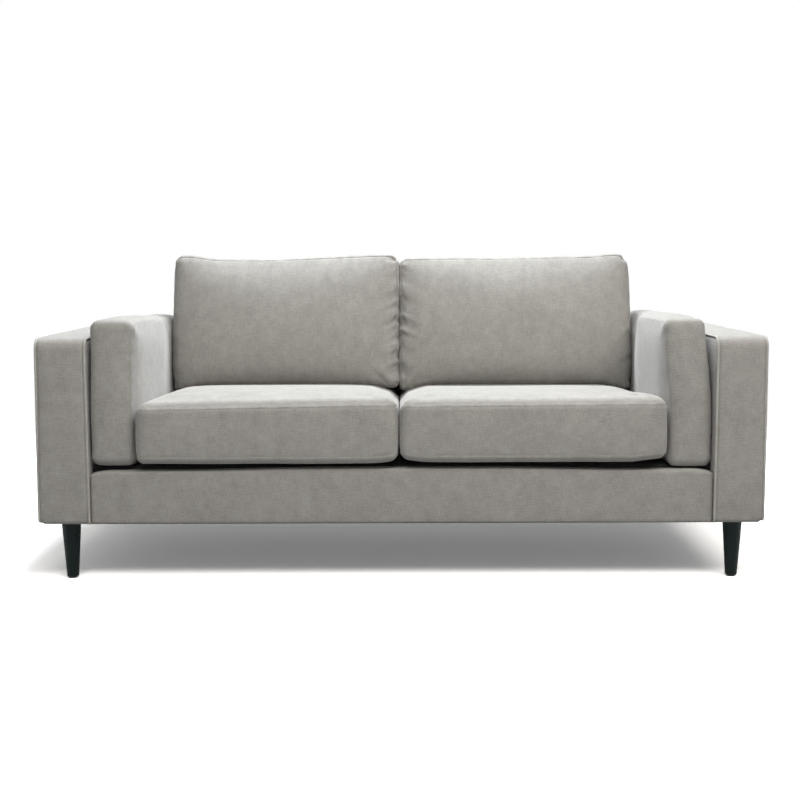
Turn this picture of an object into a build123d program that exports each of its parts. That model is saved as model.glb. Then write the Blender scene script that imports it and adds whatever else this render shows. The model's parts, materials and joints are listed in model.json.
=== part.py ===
from build123d import *
import os
from math import cos, pi, radians, sin

# A sofa for two or three, with loose seat, back and arm cushions on an upholstered timber frame.
# Millimetres. X runs along the sofa, Y from its front (negative) to its back, Z up from the floor.
# The origin is on the floor under the middle of the sofa. Left is the negative X side.

# Whole sofa
overall_width = 1880.0
overall_depth = 900.0
arm_height = 640.0
arm_width = 130.0
back_height = 630.0
back_thickness = 125.0
deck_height = 300.0

# Fits between pieces
slip_gap = 0.3
cushion_gap = 1.0
arm_slot = 8.0
hole_gap = 0.1

# Legs and what holds them
leg_height = 152.0
leg_top_diameter = 51.0
leg_foot_diameter = 31.0
leg_foot_chamfer = 1.5
leg_inset = 64.0
glide_diameter = 22.0
glide_height = 4.0
glide_pin_diameter = 4.0
glide_pin_length = 12.0
leg_plate_side = 65.0
leg_plate_thickness = 3.0
leg_plate_corner = 6.0
leg_bolt_diameter = 8.0
leg_bolt_grip = 35.0
plate_screw_diameter = 4.0
plate_screw_length = 28.0
plate_screw_head_diameter = 8.0
plate_screw_spacing = 48.0
dust_cover_thickness = 1.0
dust_cover_margin = 8.0
dust_cover_cutout_gap = 0.5

# Upholstery on the frame
cover_wall = 4.0
foam_wall = 12.0
arm_corner_radius = 30.0
arm_lining_radius = 6.0
arm_foam_rounding = 0.4
piping_diameter = 5.0
piping_proud = 1.0
piping_groove_gap = 0.2
back_edge_radius = 16.0
border_edge_radius = 18.0
border_top_wall = 12.0
border_depth = 45.0

# Timber
board_thickness = 27.0
post_depth = 45.0
sill_height = 45.0
arm_top_board = 25.0
back_rail_height = 50.0
back_rail_drop = 24.0
back_post_width = 70.0
stretcher_width = 44.0
stretcher_height = 60.0

# Bolts that hold the arms to the seat and back rails
arm_bolt_diameter = 8.0
arm_bolt_head_diameter = 14.0
arm_bolt_head_height = 5.5
arm_bolt_counterbore_diameter = 17.0
arm_bolt_counterbore_depth = 7.0
arm_bolt_grip = 60.0
arm_bolt_drop = 41.0

# Seat springs, their clips and the back webbing
spring_count = 8
spring_turns = 21
spring_wire_diameter = 3.2
spring_straight = 20.0
spring_room = 7.0
clip_length = 12.0
clip_base_width = 16.0
clip_base_thickness = 1.0
clip_wall = 1.0
webbing_width = 50.0
webbing_thickness = 1.5
webbing_lap = 26.0

# Loose cushions
cushion_cover_wall = 3.0
corner_limit = 0.4
seat_cushion_height = 172.0
seat_cushion_setback = 7.0
seat_cushion_corner = 30.0
seat_cushion_edge = 24.0
seat_cushion_crown = 14.0
seat_cushion_crown_run = 130.0
seat_cushion_draw = 5.0
back_cushion_height = 383.0
back_cushion_depth = 232.0
back_cushion_lean = 11.5
back_cushion_corner = 36.0
back_cushion_edge = 36.0
back_cushion_crown = 26.0
back_cushion_crown_run = 110.0
back_cushion_draw = 12.0
arm_cushion_thickness = 116.0
arm_cushion_height = 386.0
arm_cushion_setback = 18.0
arm_cushion_corner = 34.0
arm_cushion_edge = 24.0
arm_cushion_crown = 8.0
arm_cushion_crown_run = 90.0
arm_cushion_draw = 5.0

# Zips in the cushion covers
zip_margin = 80.0
zip_slot = 14.0
zip_wall = 8.0
zip_tape_thickness = 3.0
zip_chain_width = 4.0
zip_chain_height = 1.4
zip_slider_length = 12.0
zip_slider_width = 9.0
zip_slider_height = 3.4
zip_tab_length = 18.0
zip_tab_width = 6.0
zip_tab_thickness = 1.2
zip_end_margin = 4.0

# Places that follow from the sizes above
sides = {"left": -1, "right": 1}
half_width = overall_width / 2
half_depth = overall_depth / 2
base = leg_height + leg_plate_thickness
piping_radius = piping_diameter / 2
arm_inner = half_width - arm_width
arm_outer = half_width - piping_proud
arm_middle = (arm_inner + arm_outer) / 2
arm_half = (arm_outer - arm_inner) / 2
arm_front = half_depth - piping_proud
arm_top = arm_height - piping_proud
timber_inset = cover_wall + foam_wall
rail_outer = arm_front - timber_inset
rail_inner = rail_outer - board_thickness
rail_middle = (rail_outer + rail_inner) / 2
panel_face = half_depth - piping_diameter - slip_gap
rail_top = deck_height - border_top_wall - spring_room
back_front = half_depth - back_thickness
back_rail_top = back_height - back_rail_drop
back_rail_bottom = back_rail_top - back_rail_height
back_rail_middle = (back_rail_top + back_rail_bottom) / 2
arm_board_top = arm_top - timber_inset
post_top = arm_board_top - arm_top_board
sill_top = base + sill_height
leg_y = half_depth - leg_inset
leg_places = [(s * arm_middle, e * leg_y) for s in (-1, 1) for e in (-1, 1)]
screw_step = plate_screw_spacing / 2
screw_places = [(i * screw_step, j * screw_step) for i in (-1, 1) for j in (-1, 1)]
seat_bolt_height = rail_top - arm_bolt_drop
bolt_places = [
    (-rail_middle, seat_bolt_height),
    (rail_middle, seat_bolt_height),
    (rail_middle, back_rail_middle),
]
bolt_head_seat = arm_middle + arm_half - timber_inset - arm_bolt_counterbore_depth
wire_radius = spring_wire_diameter / 2
spring_level = rail_top + clip_base_thickness + slip_gap + wire_radius
spring_pitch = 2 * arm_inner / (spring_count + 1)
spring_bend = rail_middle / spring_turns
spring_half = spring_count // 2
spring_places = [(i - (spring_count - 1) / 2) * spring_pitch for i in range(spring_count)]
webbing_places = [i * spring_pitch for i in range(-spring_half, spring_half + 1) if i != 0]
deck_underside = spring_level + wire_radius + slip_gap
webbing_face = rail_inner - webbing_thickness
cushion_back = back_front - cushion_gap
seat_bottom = deck_height + slip_gap
arm_cushion_outer = arm_inner - piping_proud - arm_slot
arm_cushion_inner = arm_cushion_outer - arm_cushion_thickness
seat_cushion_width = arm_cushion_inner - 2 * cushion_gap
seat_middle = cushion_gap + seat_cushion_width / 2
seat_cushion_depth = cushion_back + half_depth - seat_cushion_setback
arm_cushion_length = cushion_back + half_depth - arm_cushion_setback
back_cushion_bottom = seat_bottom + seat_cushion_height + slip_gap


def save(piece, name):
    """Label a finished piece and write it to its own file."""
    piece.part.label = name
    export_step(piece.part, f"parts/{name}.step")


def round_corner(profile, place, radius):
    """Round the corner of a sketch that lies at a place."""
    fillet(profile.vertices().sort_by_distance(place)[0], radius)


def timber(name, low, high, bores=()):
    """A squared board between two corners. A bore has a start, an outward direction, a radius and a depth."""
    with BuildPart() as board:
        with BuildSketch(Plane.XY.offset(low[2])):
            with Locations(((low[0] + high[0]) / 2, (low[1] + high[1]) / 2)):
                Rectangle(high[0] - low[0], high[1] - low[1])
        extrude(amount=high[2] - low[2])
        for start, outward, radius, depth in bores:
            with Locations(Plane(origin=start, z_dir=outward)):
                Hole(radius, depth)
    save(board, name)


def arm_form(side, inset, rounding):
    """The arm's outline drawn in evenly by an inset, from the base up, with its long edges rounded."""
    width = 2 * (arm_half - inset)
    with BuildPart() as form:
        with BuildSketch(Plane.YZ.offset(side * arm_middle - width / 2)) as outline:
            with Locations((0, (base + arm_top - inset) / 2)):
                Rectangle(2 * (arm_front - inset), arm_top - inset - base)
            fillet(outline.vertices().group_by(Axis.Y)[-1], arm_corner_radius - inset)
        extrude(amount=width)
        if rounding:
            ends = form.faces().filter_by(Axis.X)
            rims = ends.edges().filter_by(lambda rim: rim.center().Z > base + rounding)
            fillet(rims, rounding)
    return form.part


def arm_edge_tubes(side, radius):
    """Two tubes that follow the arm's inner and outer edges up the front, over the top and down the back."""
    sunk = piping_radius - piping_proud
    reach = arm_front - sunk
    with BuildPart() as tubes:
        for edge in (-1, 1):
            edge_x = side * arm_middle + edge * (arm_half - sunk)
            with BuildLine(Plane.YZ.offset(edge_x)) as run:
                FilletPolyline(
                    (-reach, base),
                    (-reach, arm_top - sunk),
                    (reach, arm_top - sunk),
                    (reach, base),
                    radius=arm_corner_radius - sunk,
                )
            with BuildSketch(Plane(origin=run.line @ 0, z_dir=run.line % 0)):
                Circle(radius)
            sweep()
    length = 2 * run.wires()[0].length
    print(f"tube of radius {radius}: {tubes.part.volume / (pi * radius**2 * length):.5f} of section by length")
    return tubes.part


def bolt_bores(side, start_x, radius, depth, places):
    """Bores along X for the arm bolts, starting at one distance from the middle of the sofa."""
    return [((side * start_x, y, z), (side, 0, 0), radius, depth) for y, z in places]


def build_arm(hand, side):
    """One upholstered arm: timber, foam, cover and piping."""
    near = arm_middle - arm_half + timber_inset
    far = arm_middle + arm_half - timber_inset
    low_x = min(side * near, side * far)
    high_x = max(side * near, side * far)
    shank = arm_bolt_diameter / 2 + hole_gap
    head = arm_bolt_counterbore_diameter / 2
    for end, end_name in ((-1, "front"), (1, "rear")):
        low_y = min(end * rail_outer, end * (rail_outer - post_depth))
        places = [place for place in bolt_places if place[0] * end > 0]
        bores = bolt_bores(side, far, shank, far - near, places)
        bores += bolt_bores(side, far, head, arm_bolt_counterbore_depth, places)
        timber(
            f"{hand}_arm_{end_name}_post",
            (low_x, low_y, sill_top),
            (high_x, low_y + post_depth, post_top),
            bores,
        )
    timber(f"{hand}_arm_top_rail", (low_x, -rail_outer, post_top), (high_x, rail_outer, arm_board_top))
    down = (0, 0, -1)
    sill_bores = []
    for leg_x, place_y in leg_places:
        if leg_x * side > 0:
            bolt_radius = leg_bolt_diameter / 2 + hole_gap
            sill_bores.append(((leg_x, place_y, base), down, bolt_radius, leg_bolt_grip))
            for step_x, step_y in screw_places:
                screw_radius = plate_screw_diameter / 2 + hole_gap
                start = (leg_x + step_x, place_y + step_y, base)
                sill_bores.append((start, down, screw_radius, plate_screw_length))
    timber(
        f"{hand}_arm_bottom_rail",
        (low_x, -rail_outer, base),
        (high_x, rail_outer, sill_top),
        sill_bores,
    )
    lining = arm_form(side, cover_wall, arm_lining_radius)
    core = arm_form(side, cover_wall, arm_lining_radius + arm_foam_rounding)
    with BuildPart() as foam:
        add(core)
        with BuildSketch(Plane.XY.offset(base)):
            with Locations((side * arm_middle, 0)):
                Rectangle(far - near, 2 * rail_outer)
        extrude(amount=arm_board_top - base, mode=Mode.SUBTRACT)
        for start, outward, radius, depth in bolt_bores(side, near, shank, foam_wall, bolt_places):
            with Locations(Plane(origin=start, z_dir=outward)):
                Hole(radius, depth)
    save(foam, f"{hand}_arm_foam")
    outside = arm_form(side, 0, 0)
    grooves = arm_edge_tubes(side, piping_radius + piping_groove_gap)
    inside = near - foam_wall
    with BuildPart() as cover:
        add(outside)
        add(lining, mode=Mode.SUBTRACT)
        add(grooves, mode=Mode.SUBTRACT)
        for start, outward, radius, depth in bolt_bores(side, inside, shank, cover_wall, bolt_places):
            with Locations(Plane(origin=start, z_dir=outward)):
                Hole(radius, depth)
    save(cover, f"{hand}_arm_cover")
    tubes = arm_edge_tubes(side, piping_radius)
    with BuildPart() as piping:
        add(tubes)
    save(piping, f"{hand}_arm_piping")


def build_seat_and_back_timber():
    """Rails between the arms, the stretcher under the springs and the post up the back."""
    shank = arm_bolt_diameter / 2 + hole_gap
    for name, end, low_z, high_z, bolt_z in (
        ("front_seat_rail", -1, base, rail_top, seat_bolt_height),
        ("rear_seat_rail", 1, base, rail_top, seat_bolt_height),
        ("back_top_rail", 1, back_rail_bottom, back_rail_top, back_rail_middle),
    ):
        low_y = min(end * rail_inner, end * rail_outer)
        bores = []
        for side in (-1, 1):
            bores += bolt_bores(side, arm_inner, shank, arm_bolt_grip, [(end * rail_middle, bolt_z)])
        timber(
            name,
            (-arm_inner, low_y, low_z),
            (arm_inner, low_y + board_thickness, high_z),
            bores,
        )
    timber(
        "centre_stretcher",
        (-stretcher_width / 2, -rail_inner, base),
        (stretcher_width / 2, rail_inner, base + stretcher_height),
    )
    timber(
        "back_centre_post",
        (-back_post_width / 2, rail_inner, rail_top),
        (back_post_width / 2, rail_outer, back_rail_bottom),
    )


def build_arm_bolts():
    """Hexagon-headed bolts through the arm posts into the ends of the rails."""
    shank_length = bolt_head_seat - arm_inner + arm_bolt_grip
    with BuildPart() as bolts:
        for side in (-1, 1):
            for y, z in bolt_places:
                seat = Plane(origin=(side * bolt_head_seat, y, z), z_dir=(side, 0, 0))
                with BuildSketch(seat):
                    RegularPolygon(arm_bolt_head_diameter / 2, 6)
                extrude(amount=arm_bolt_head_height)
                with BuildSketch(seat):
                    Circle(arm_bolt_diameter / 2)
                extrude(amount=-shank_length)
    save(bolts, "arm_bolts")


def build_springs():
    """Zig-zag seat springs from the front rail to the rear rail, and the clips that hold their ends."""
    with BuildPart() as springs:
        for place in spring_places:
            with BuildLine(Plane.XY.offset(spring_level)) as wire:
                heading = 1
                y = -rail_middle
                for turn in range(spring_turns):
                    start = (place - heading * spring_straight / 2, y)
                    corner = (place + heading * spring_straight / 2, y)
                    tip = (corner[0] + heading * spring_bend, y + spring_bend)
                    y += 2 * spring_bend
                    Line(start, corner)
                    ThreePointArc(corner, tip, (corner[0], y))
                    heading = -heading
                Line((place - heading * spring_straight / 2, y), (place + heading * spring_straight / 2, y))
            with BuildSketch(Plane(origin=wire.line @ 0, z_dir=wire.line % 0)):
                Circle(wire_radius)
            sweep()
    section = pi * wire_radius**2
    share = springs.part.volume / (section * wire.wires()[0].length * spring_count)
    print(f"seat springs: {share:.5f} of section by length")
    save(springs, "seat_springs")
    bore = wire_radius + slip_gap
    shell = bore + clip_wall
    leg = spring_level - rail_top
    with BuildPart() as clips:
        for place in spring_places:
            for end in (-1, 1):
                with BuildSketch(Plane.YZ.offset(place - clip_length / 2)):
                    with Locations((end * rail_middle, spring_level)):
                        Circle(shell)
                    with Locations((end * rail_middle, rail_top + leg / 2)):
                        Rectangle(2 * shell, leg)
                        Rectangle(2 * bore, leg, mode=Mode.SUBTRACT)
                    with Locations((end * rail_middle, spring_level)):
                        Circle(bore, mode=Mode.SUBTRACT)
                    with Locations((end * rail_middle, rail_top + clip_base_thickness / 2)):
                        Rectangle(clip_base_width, clip_base_thickness)
                extrude(amount=clip_length)
    save(clips, "spring_clips")


def build_back_webbing():
    """Upright elastic bands between the rear seat rail and the back's top rail."""
    low_z = rail_top - webbing_lap
    high_z = back_rail_bottom + webbing_lap
    with BuildPart() as webbing:
        with BuildSketch(Plane.XZ.offset(-rail_inner)):
            for place in webbing_places:
                with Locations((place, (low_z + high_z) / 2)):
                    Rectangle(webbing_width, high_z - low_z)
        extrude(amount=webbing_thickness)
    save(webbing, "back_webbing")


def build_deck_and_panels():
    """The padded deck over the springs, the front border, the back's foam and cover, and the dust cover."""
    border_back = -panel_face + border_depth
    pad_back = webbing_face - slip_gap
    with BuildPart() as deck:
        with BuildSketch(Plane.XY.offset(deck_underside)):
            with Locations((0, (border_back + pad_back) / 2)):
                Rectangle(2 * arm_inner, pad_back - border_back)
        extrude(amount=deck_height - deck_underside)
    save(deck, "deck_cloth")

    border_underside = deck_height - border_top_wall
    with BuildPart() as border:
        with BuildSketch(Plane.YZ.offset(-arm_inner)) as profile:
            with BuildLine():
                Polyline(
                    (-panel_face, base),
                    (-panel_face, deck_height),
                    (border_back, deck_height),
                    (border_back, border_underside),
                    (-rail_outer, border_underside),
                    (-rail_outer, base),
                    close=True,
                )
            make_face()
            round_corner(profile, (-panel_face, deck_height), border_edge_radius)
        extrude(amount=2 * arm_inner)
    save(border, "front_border_cover")

    lining_front = back_front + cover_wall
    lining_top = back_height - cover_wall
    lining_radius = back_edge_radius - cover_wall
    lining_rear_radius = arm_corner_radius - (panel_face - rail_outer)
    with BuildPart() as back_foam:
        with BuildSketch(Plane.YZ.offset(-arm_inner)) as profile:
            with BuildLine():
                Polyline(
                    (lining_front, deck_height),
                    (lining_front, lining_top),
                    (rail_outer, lining_top),
                    (rail_outer, back_rail_top),
                    (pad_back, back_rail_top),
                    (pad_back, deck_height),
                    close=True,
                )
            make_face()
            round_corner(profile, (lining_front, lining_top), lining_radius + slip_gap)
            round_corner(profile, (rail_outer, lining_top), lining_rear_radius + slip_gap)
        extrude(amount=2 * arm_inner)
    save(back_foam, "back_foam")

    with BuildPart() as back_cover:
        with BuildSketch(Plane.YZ.offset(-arm_inner)) as profile:
            with BuildLine():
                Polyline(
                    (back_front, deck_height),
                    (back_front, back_height),
                    (panel_face, back_height),
                    (panel_face, base),
                    (rail_outer, base),
                    (rail_outer, lining_top),
                    (lining_front, lining_top),
                    (lining_front, deck_height),
                    close=True,
                )
            make_face()
            round_corner(profile, (lining_front, lining_top), lining_radius)
            round_corner(profile, (rail_outer, lining_top), lining_rear_radius)
            round_corner(profile, (back_front, back_height), back_edge_radius)
            round_corner(profile, (panel_face, back_height), arm_corner_radius)
        extrude(amount=2 * arm_inner)
    save(back_cover, "back_cover")

    cutout = leg_plate_side + 2 * dust_cover_cutout_gap
    with BuildPart() as dust_cover:
        with BuildSketch(Plane.XY.offset(base - dust_cover_thickness)):
            Rectangle(2 * (arm_outer - dust_cover_margin), 2 * (panel_face - dust_cover_margin))
            with Locations(*leg_places):
                Rectangle(cutout, cutout, mode=Mode.SUBTRACT)
        extrude(amount=dust_cover_thickness)
    save(dust_cover, "dust_cover")


def build_legs():
    """Turned tapered legs, their glides, and the plates, bolts and screws that hold them to the arms."""
    top_radius = leg_top_diameter / 2
    foot_radius = leg_foot_diameter / 2
    for leg_x, place_y in leg_places:
        hand = "left" if leg_x < 0 else "right"
        end_name = "front" if place_y < 0 else "rear"
        with BuildPart() as leg:
            with BuildSketch(Plane(origin=(leg_x, place_y, 0), x_dir=(1, 0, 0), z_dir=(0, -1, 0))):
                with BuildLine():
                    Polyline(
                        (0, glide_height),
                        (foot_radius - leg_foot_chamfer, glide_height),
                        (foot_radius, glide_height + leg_foot_chamfer),
                        (top_radius, leg_height),
                        (0, leg_height),
                        close=True,
                    )
                make_face()
            revolve(axis=Axis((leg_x, place_y, 0), (0, 0, 1)))
            with Locations(Plane(origin=(leg_x, place_y, leg_height), z_dir=(0, 0, 1))):
                Hole(leg_bolt_diameter / 2 + hole_gap, leg_bolt_grip)
            with Locations(Plane(origin=(leg_x, place_y, glide_height), z_dir=(0, 0, -1))):
                Hole(glide_pin_diameter / 2 + hole_gap, glide_pin_length)
        save(leg, f"leg_{end_name}_{hand}")

    with BuildPart() as glides:
        with BuildSketch():
            with Locations(*leg_places):
                Circle(glide_diameter / 2)
        extrude(amount=glide_height)
        with BuildSketch(Plane.XY.offset(glide_height)):
            with Locations(*leg_places):
                Circle(glide_pin_diameter / 2)
        extrude(amount=glide_pin_length)
    save(glides, "leg_glides")

    with BuildPart() as plates:
        with BuildSketch(Plane.XY.offset(leg_height)):
            with Locations(*leg_places):
                RectangleRounded(leg_plate_side, leg_plate_side, leg_plate_corner)
                Circle(leg_bolt_diameter / 2 + hole_gap, mode=Mode.SUBTRACT)
        extrude(amount=leg_plate_thickness)
        for leg_x, place_y in leg_places:
            for step_x, step_y in screw_places:
                face = Plane(origin=(leg_x + step_x, place_y + step_y, leg_height), z_dir=(0, 0, -1))
                with Locations(face):
                    CounterSinkHole(
                        plate_screw_diameter / 2 + hole_gap,
                        plate_screw_head_diameter / 2 + hole_gap,
                        leg_plate_thickness,
                    )
    save(plates, "leg_plates")

    head_drop = (plate_screw_head_diameter - plate_screw_diameter) / 2
    with BuildPart() as screws:
        for leg_x, place_y in leg_places:
            for step_x, step_y in screw_places:
                spot = Plane(origin=(leg_x + step_x, place_y + step_y, 0), x_dir=(1, 0, 0), z_dir=(0, -1, 0))
                with BuildSketch(spot):
                    with BuildLine():
                        Polyline(
                            (0, leg_height),
                            (plate_screw_head_diameter / 2, leg_height),
                            (plate_screw_diameter / 2, leg_height + head_drop),
                            (plate_screw_diameter / 2, leg_height + plate_screw_length),
                            (0, leg_height + plate_screw_length),
                            close=True,
                        )
                    make_face()
                revolve(axis=Axis(spot.origin, (0, 0, 1)))
    save(screws, "leg_plate_screws")

    with BuildPart() as leg_bolts:
        with BuildSketch(Plane.XY.offset(leg_height - leg_bolt_grip)):
            with Locations(*leg_places):
                Circle(leg_bolt_diameter / 2)
        extrude(amount=2 * leg_bolt_grip + leg_plate_thickness)
    save(leg_bolts, "leg_bolts")


def depth_steps(depth, edge, crown, crown_run):
    """Distances through a cushion, each with how far its outline is drawn in there: rounded back edge,
    full girth, rounded front edge and a crowned front panel."""
    quarter = [radians(angle) for angle in (0, 30, 60, 90)]
    steps = [(edge * (1 - cos(angle)), edge * (1 - sin(angle))) for angle in quarter]
    front = depth - crown
    steps += [(front - edge * (1 - cos(angle)), edge * (1 - sin(angle))) for angle in reversed(quarter)]
    for share in (1 / 3, 2 / 3, 1):
        steps.append((depth - crown * (1 - share) ** 2, edge + (crown_run - edge) * share))
    return steps


def cushion_form(spec, wall, zip_side_wall):
    """The cushion's stuffed shape, drawn in by a wall: outlines fanned through its depth and joined.
    The outline's zip side is straight, its other three sides are drawn in between the corners."""
    place = spec["place"]
    steps = depth_steps(spec["depth"] - 2 * wall, spec["edge"], spec["crown"], spec["crown_run"])
    with BuildPart() as form:
        for distance, inset in steps:
            through = wall + distance
            lean = radians(spec["lean"]) * through / spec["depth"]
            normal = place.z_dir * cos(lean) + place.y_dir * sin(lean)
            section = Plane(
                origin=place.origin + place.z_dir * through, x_dir=place.x_dir, z_dir=normal
            )
            side = spec["width"] / 2 - wall - inset
            low = zip_side_wall + inset
            high = spec["height"] - wall - inset
            corner = min(spec["corner"] - wall, corner_limit * (high - low))
            flank = side - corner
            foot = low + corner
            head = high - corner
            middle = (low + high) / 2
            with BuildSketch(section):
                with BuildLine():
                    Line((-flank, low), (flank, low))
                    CenterArc((flank, foot), corner, -90, 90)
                    ThreePointArc((side, foot), (side - spec["draw"], middle), (side, head))
                    CenterArc((flank, head), corner, 0, 90)
                    ThreePointArc((flank, high), (0, high - spec["draw"]), (-flank, high))
                    CenterArc((-flank, head), corner, 90, 90)
                    ThreePointArc((-side, head), (spec["draw"] - side, middle), (-side, foot))
                    CenterArc((-flank, foot), corner, 180, 90)
                make_face()
        loft(ruled=True)
    return form.part


def zip_block(spec, low, high):
    """A block in the cushion's own frame, between two corners given along its width, height and depth."""
    place = spec["place"]
    with BuildPart() as block:
        with BuildSketch(Plane(origin=place.origin + place.z_dir * low[2], x_dir=place.x_dir, z_dir=place.z_dir)):
            with Locations(((low[0] + high[0]) / 2, (low[1] + high[1]) / 2)):
                Rectangle(high[0] - low[0], high[1] - low[1])
        extrude(amount=high[2] - low[2])
    return block.part


def build_cushion(name, spec):
    """A loose cushion: sewn cover, stuffed core, zip tape in the cover's slot and the zip's slider."""
    half_zip = spec["width"] / 2 - zip_margin
    middle = spec["depth"] / 2
    low_z = middle - zip_slot / 2
    high_z = middle + zip_slot / 2
    outside = cushion_form(spec, 0, 0)
    hollow = cushion_form(spec, cushion_cover_wall, zip_wall)
    slot = zip_block(spec, (-half_zip, 0, low_z), (half_zip, zip_wall + slip_gap, high_z))
    with BuildPart() as cover:
        add(outside)
        add(hollow, mode=Mode.SUBTRACT)
        add(slot, mode=Mode.SUBTRACT)
    save(cover, f"{name}_cover")

    stuffing = cushion_form(spec, cushion_cover_wall + slip_gap, zip_wall + slip_gap)
    with BuildPart() as core:
        add(stuffing)
    save(core, f"{name}_core")

    tape_face = zip_wall - zip_tape_thickness
    chain_face = tape_face - zip_chain_height
    half_chain = zip_chain_width / 2
    band = zip_block(spec, (-half_zip, tape_face, low_z), (half_zip, zip_wall, high_z))
    chain_low = (-half_zip, chain_face, middle - half_chain)
    chain_high = (half_zip, tape_face, middle + half_chain)
    chain = zip_block(spec, chain_low, chain_high)
    with BuildPart() as tape:
        add(band)
        add(chain)
    save(tape, f"{name}_zip_tape")

    start = zip_end_margin - half_zip
    body_top = tape_face - slip_gap
    body_face = body_top - zip_slider_height
    half_slider = zip_slider_width / 2
    groove = half_chain + slip_gap
    tab_start = start + zip_slider_length / 2
    tab_face = body_face + zip_tab_thickness
    half_tab = zip_tab_width / 2
    body_low = (start, body_face, middle - half_slider)
    body_high = (start + zip_slider_length, body_top, middle + half_slider)
    body = zip_block(spec, body_low, body_high)
    groove_low = (start, chain_face - slip_gap, middle - groove)
    groove_high = (start + zip_slider_length, body_top, middle + groove)
    channel = zip_block(spec, groove_low, groove_high)
    tab_low = (tab_start, body_face, middle - half_tab)
    tab_high = (tab_start + zip_tab_length, tab_face, middle + half_tab)
    tab = zip_block(spec, tab_low, tab_high)
    with BuildPart() as slider:
        add(body)
        add(channel, mode=Mode.SUBTRACT)
        add(tab)
    save(slider, f"{name}_zip_slider")


def build_cushions():
    """The six loose cushions. Each place is the middle of the zip side, on the panel that rests."""
    for hand, side in sides.items():
        seat_place = Plane(
            origin=(side * seat_middle, cushion_back, seat_bottom), x_dir=(-1, 0, 0), z_dir=(0, 0, 1)
        )
        build_cushion(
            f"seat_cushion_{hand}",
            {
                "place": seat_place,
                "width": seat_cushion_width,
                "height": seat_cushion_depth,
                "depth": seat_cushion_height,
                "lean": 0,
                "corner": seat_cushion_corner,
                "edge": seat_cushion_edge,
                "crown": seat_cushion_crown,
                "crown_run": seat_cushion_crown_run,
                "draw": seat_cushion_draw,
            },
        )
        back_place = Plane(
            origin=(side * seat_middle, cushion_back, back_cushion_bottom), x_dir=(1, 0, 0), z_dir=(0, -1, 0)
        )
        build_cushion(
            f"back_cushion_{hand}",
            {
                "place": back_place,
                "width": seat_cushion_width,
                "height": back_cushion_height,
                "depth": back_cushion_depth,
                "lean": back_cushion_lean,
                "corner": back_cushion_corner,
                "edge": back_cushion_edge,
                "crown": back_cushion_crown,
                "crown_run": back_cushion_crown_run,
                "draw": back_cushion_draw,
            },
        )
        arm_place = Plane(
            origin=(side * arm_cushion_outer, cushion_back - arm_cushion_length / 2, seat_bottom),
            x_dir=(0, -side, 0),
            z_dir=(-side, 0, 0),
        )
        build_cushion(
            f"arm_cushion_{hand}",
            {
                "place": arm_place,
                "width": arm_cushion_length,
                "height": arm_cushion_height,
                "depth": arm_cushion_thickness,
                "lean": 0,
                "corner": arm_cushion_corner,
                "edge": arm_cushion_edge,
                "crown": arm_cushion_crown,
                "crown_run": arm_cushion_crown_run,
                "draw": arm_cushion_draw,
            },
        )


os.makedirs("parts", exist_ok=True)
for hand, side in sides.items():
    build_arm(hand, side)
build_seat_and_back_timber()
build_arm_bolts()
build_springs()
build_back_webbing()
build_deck_and_panels()
build_legs()
build_cushions()
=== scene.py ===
# Two-seat fabric sofa with six loose cushions: its finishes, soft forms, light and camera.
# Metres, +Z up, the front faces -Y.
import json
import math

import bpy
import numpy as np
from mathutils import Matrix, Vector


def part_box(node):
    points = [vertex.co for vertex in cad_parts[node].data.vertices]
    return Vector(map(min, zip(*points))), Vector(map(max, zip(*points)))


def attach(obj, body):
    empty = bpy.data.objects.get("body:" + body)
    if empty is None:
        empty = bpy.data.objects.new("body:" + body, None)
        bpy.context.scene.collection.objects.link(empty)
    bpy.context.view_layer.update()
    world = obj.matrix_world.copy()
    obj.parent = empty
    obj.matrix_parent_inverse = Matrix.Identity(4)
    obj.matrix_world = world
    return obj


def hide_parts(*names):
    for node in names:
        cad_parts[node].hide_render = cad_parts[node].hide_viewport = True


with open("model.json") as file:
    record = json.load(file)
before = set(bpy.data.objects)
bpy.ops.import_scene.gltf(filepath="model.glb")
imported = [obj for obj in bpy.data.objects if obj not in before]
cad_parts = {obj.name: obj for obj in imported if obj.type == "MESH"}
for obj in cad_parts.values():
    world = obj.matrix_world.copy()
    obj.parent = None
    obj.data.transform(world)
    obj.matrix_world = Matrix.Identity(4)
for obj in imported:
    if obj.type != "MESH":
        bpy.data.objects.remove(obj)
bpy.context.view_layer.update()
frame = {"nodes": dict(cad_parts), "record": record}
scene = bpy.context.scene
mm = 0.001

# Camera, fitted to the sofa's straight edges
camera_place = Vector((0.0057, -3.6386, 0.837))
camera_yaw = -0.0027
camera_pitch = 0.1118
camera_roll = -0.0034
image_width = 800
focal_length_pixels = 1249.8
sensor_width = 36.0

# Light
sky_level = 0.25
top_light_power = 172.0
top_light_tint = (0.90, 0.95, 1.0)
top_light_size = (1.4, 1.4)
top_light_place = (0.0, 1.05, 2.9)
front_light_power = 103.0
front_light_tint = (1.0, 0.97, 0.92)
front_light_size = (4.4, 0.9)
front_light_place = (0.75, -2.05, 2.75)
rear_light_power = 12.0
rear_light_tint = (1.0, 1.0, 1.0)
rear_light_size = (4.0, 1.2)
rear_light_place = (0.0, 3.4, 0.9)
top_light_target = (0.0, -0.05, 0.4)
front_light_target = (0.0, 0.0, 0.45)
rear_light_target = (0.0, 0.4, 0.1)
white = (1.0, 1.0, 1.0, 1.0)
floor_reach = 30.0
floor_glow = 0.14
floor_tone = (0.95, 0.95, 0.95)
floor_bounce = (0.36, 0.36, 0.36)
floor_white_slope = 0.55
floor_white_offset = 0.75

# Fabric
fabric_tone = (0.310, 0.300, 0.282)
thread_pitch = 1.7 * mm
fabric_sheen = 0.26

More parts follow.
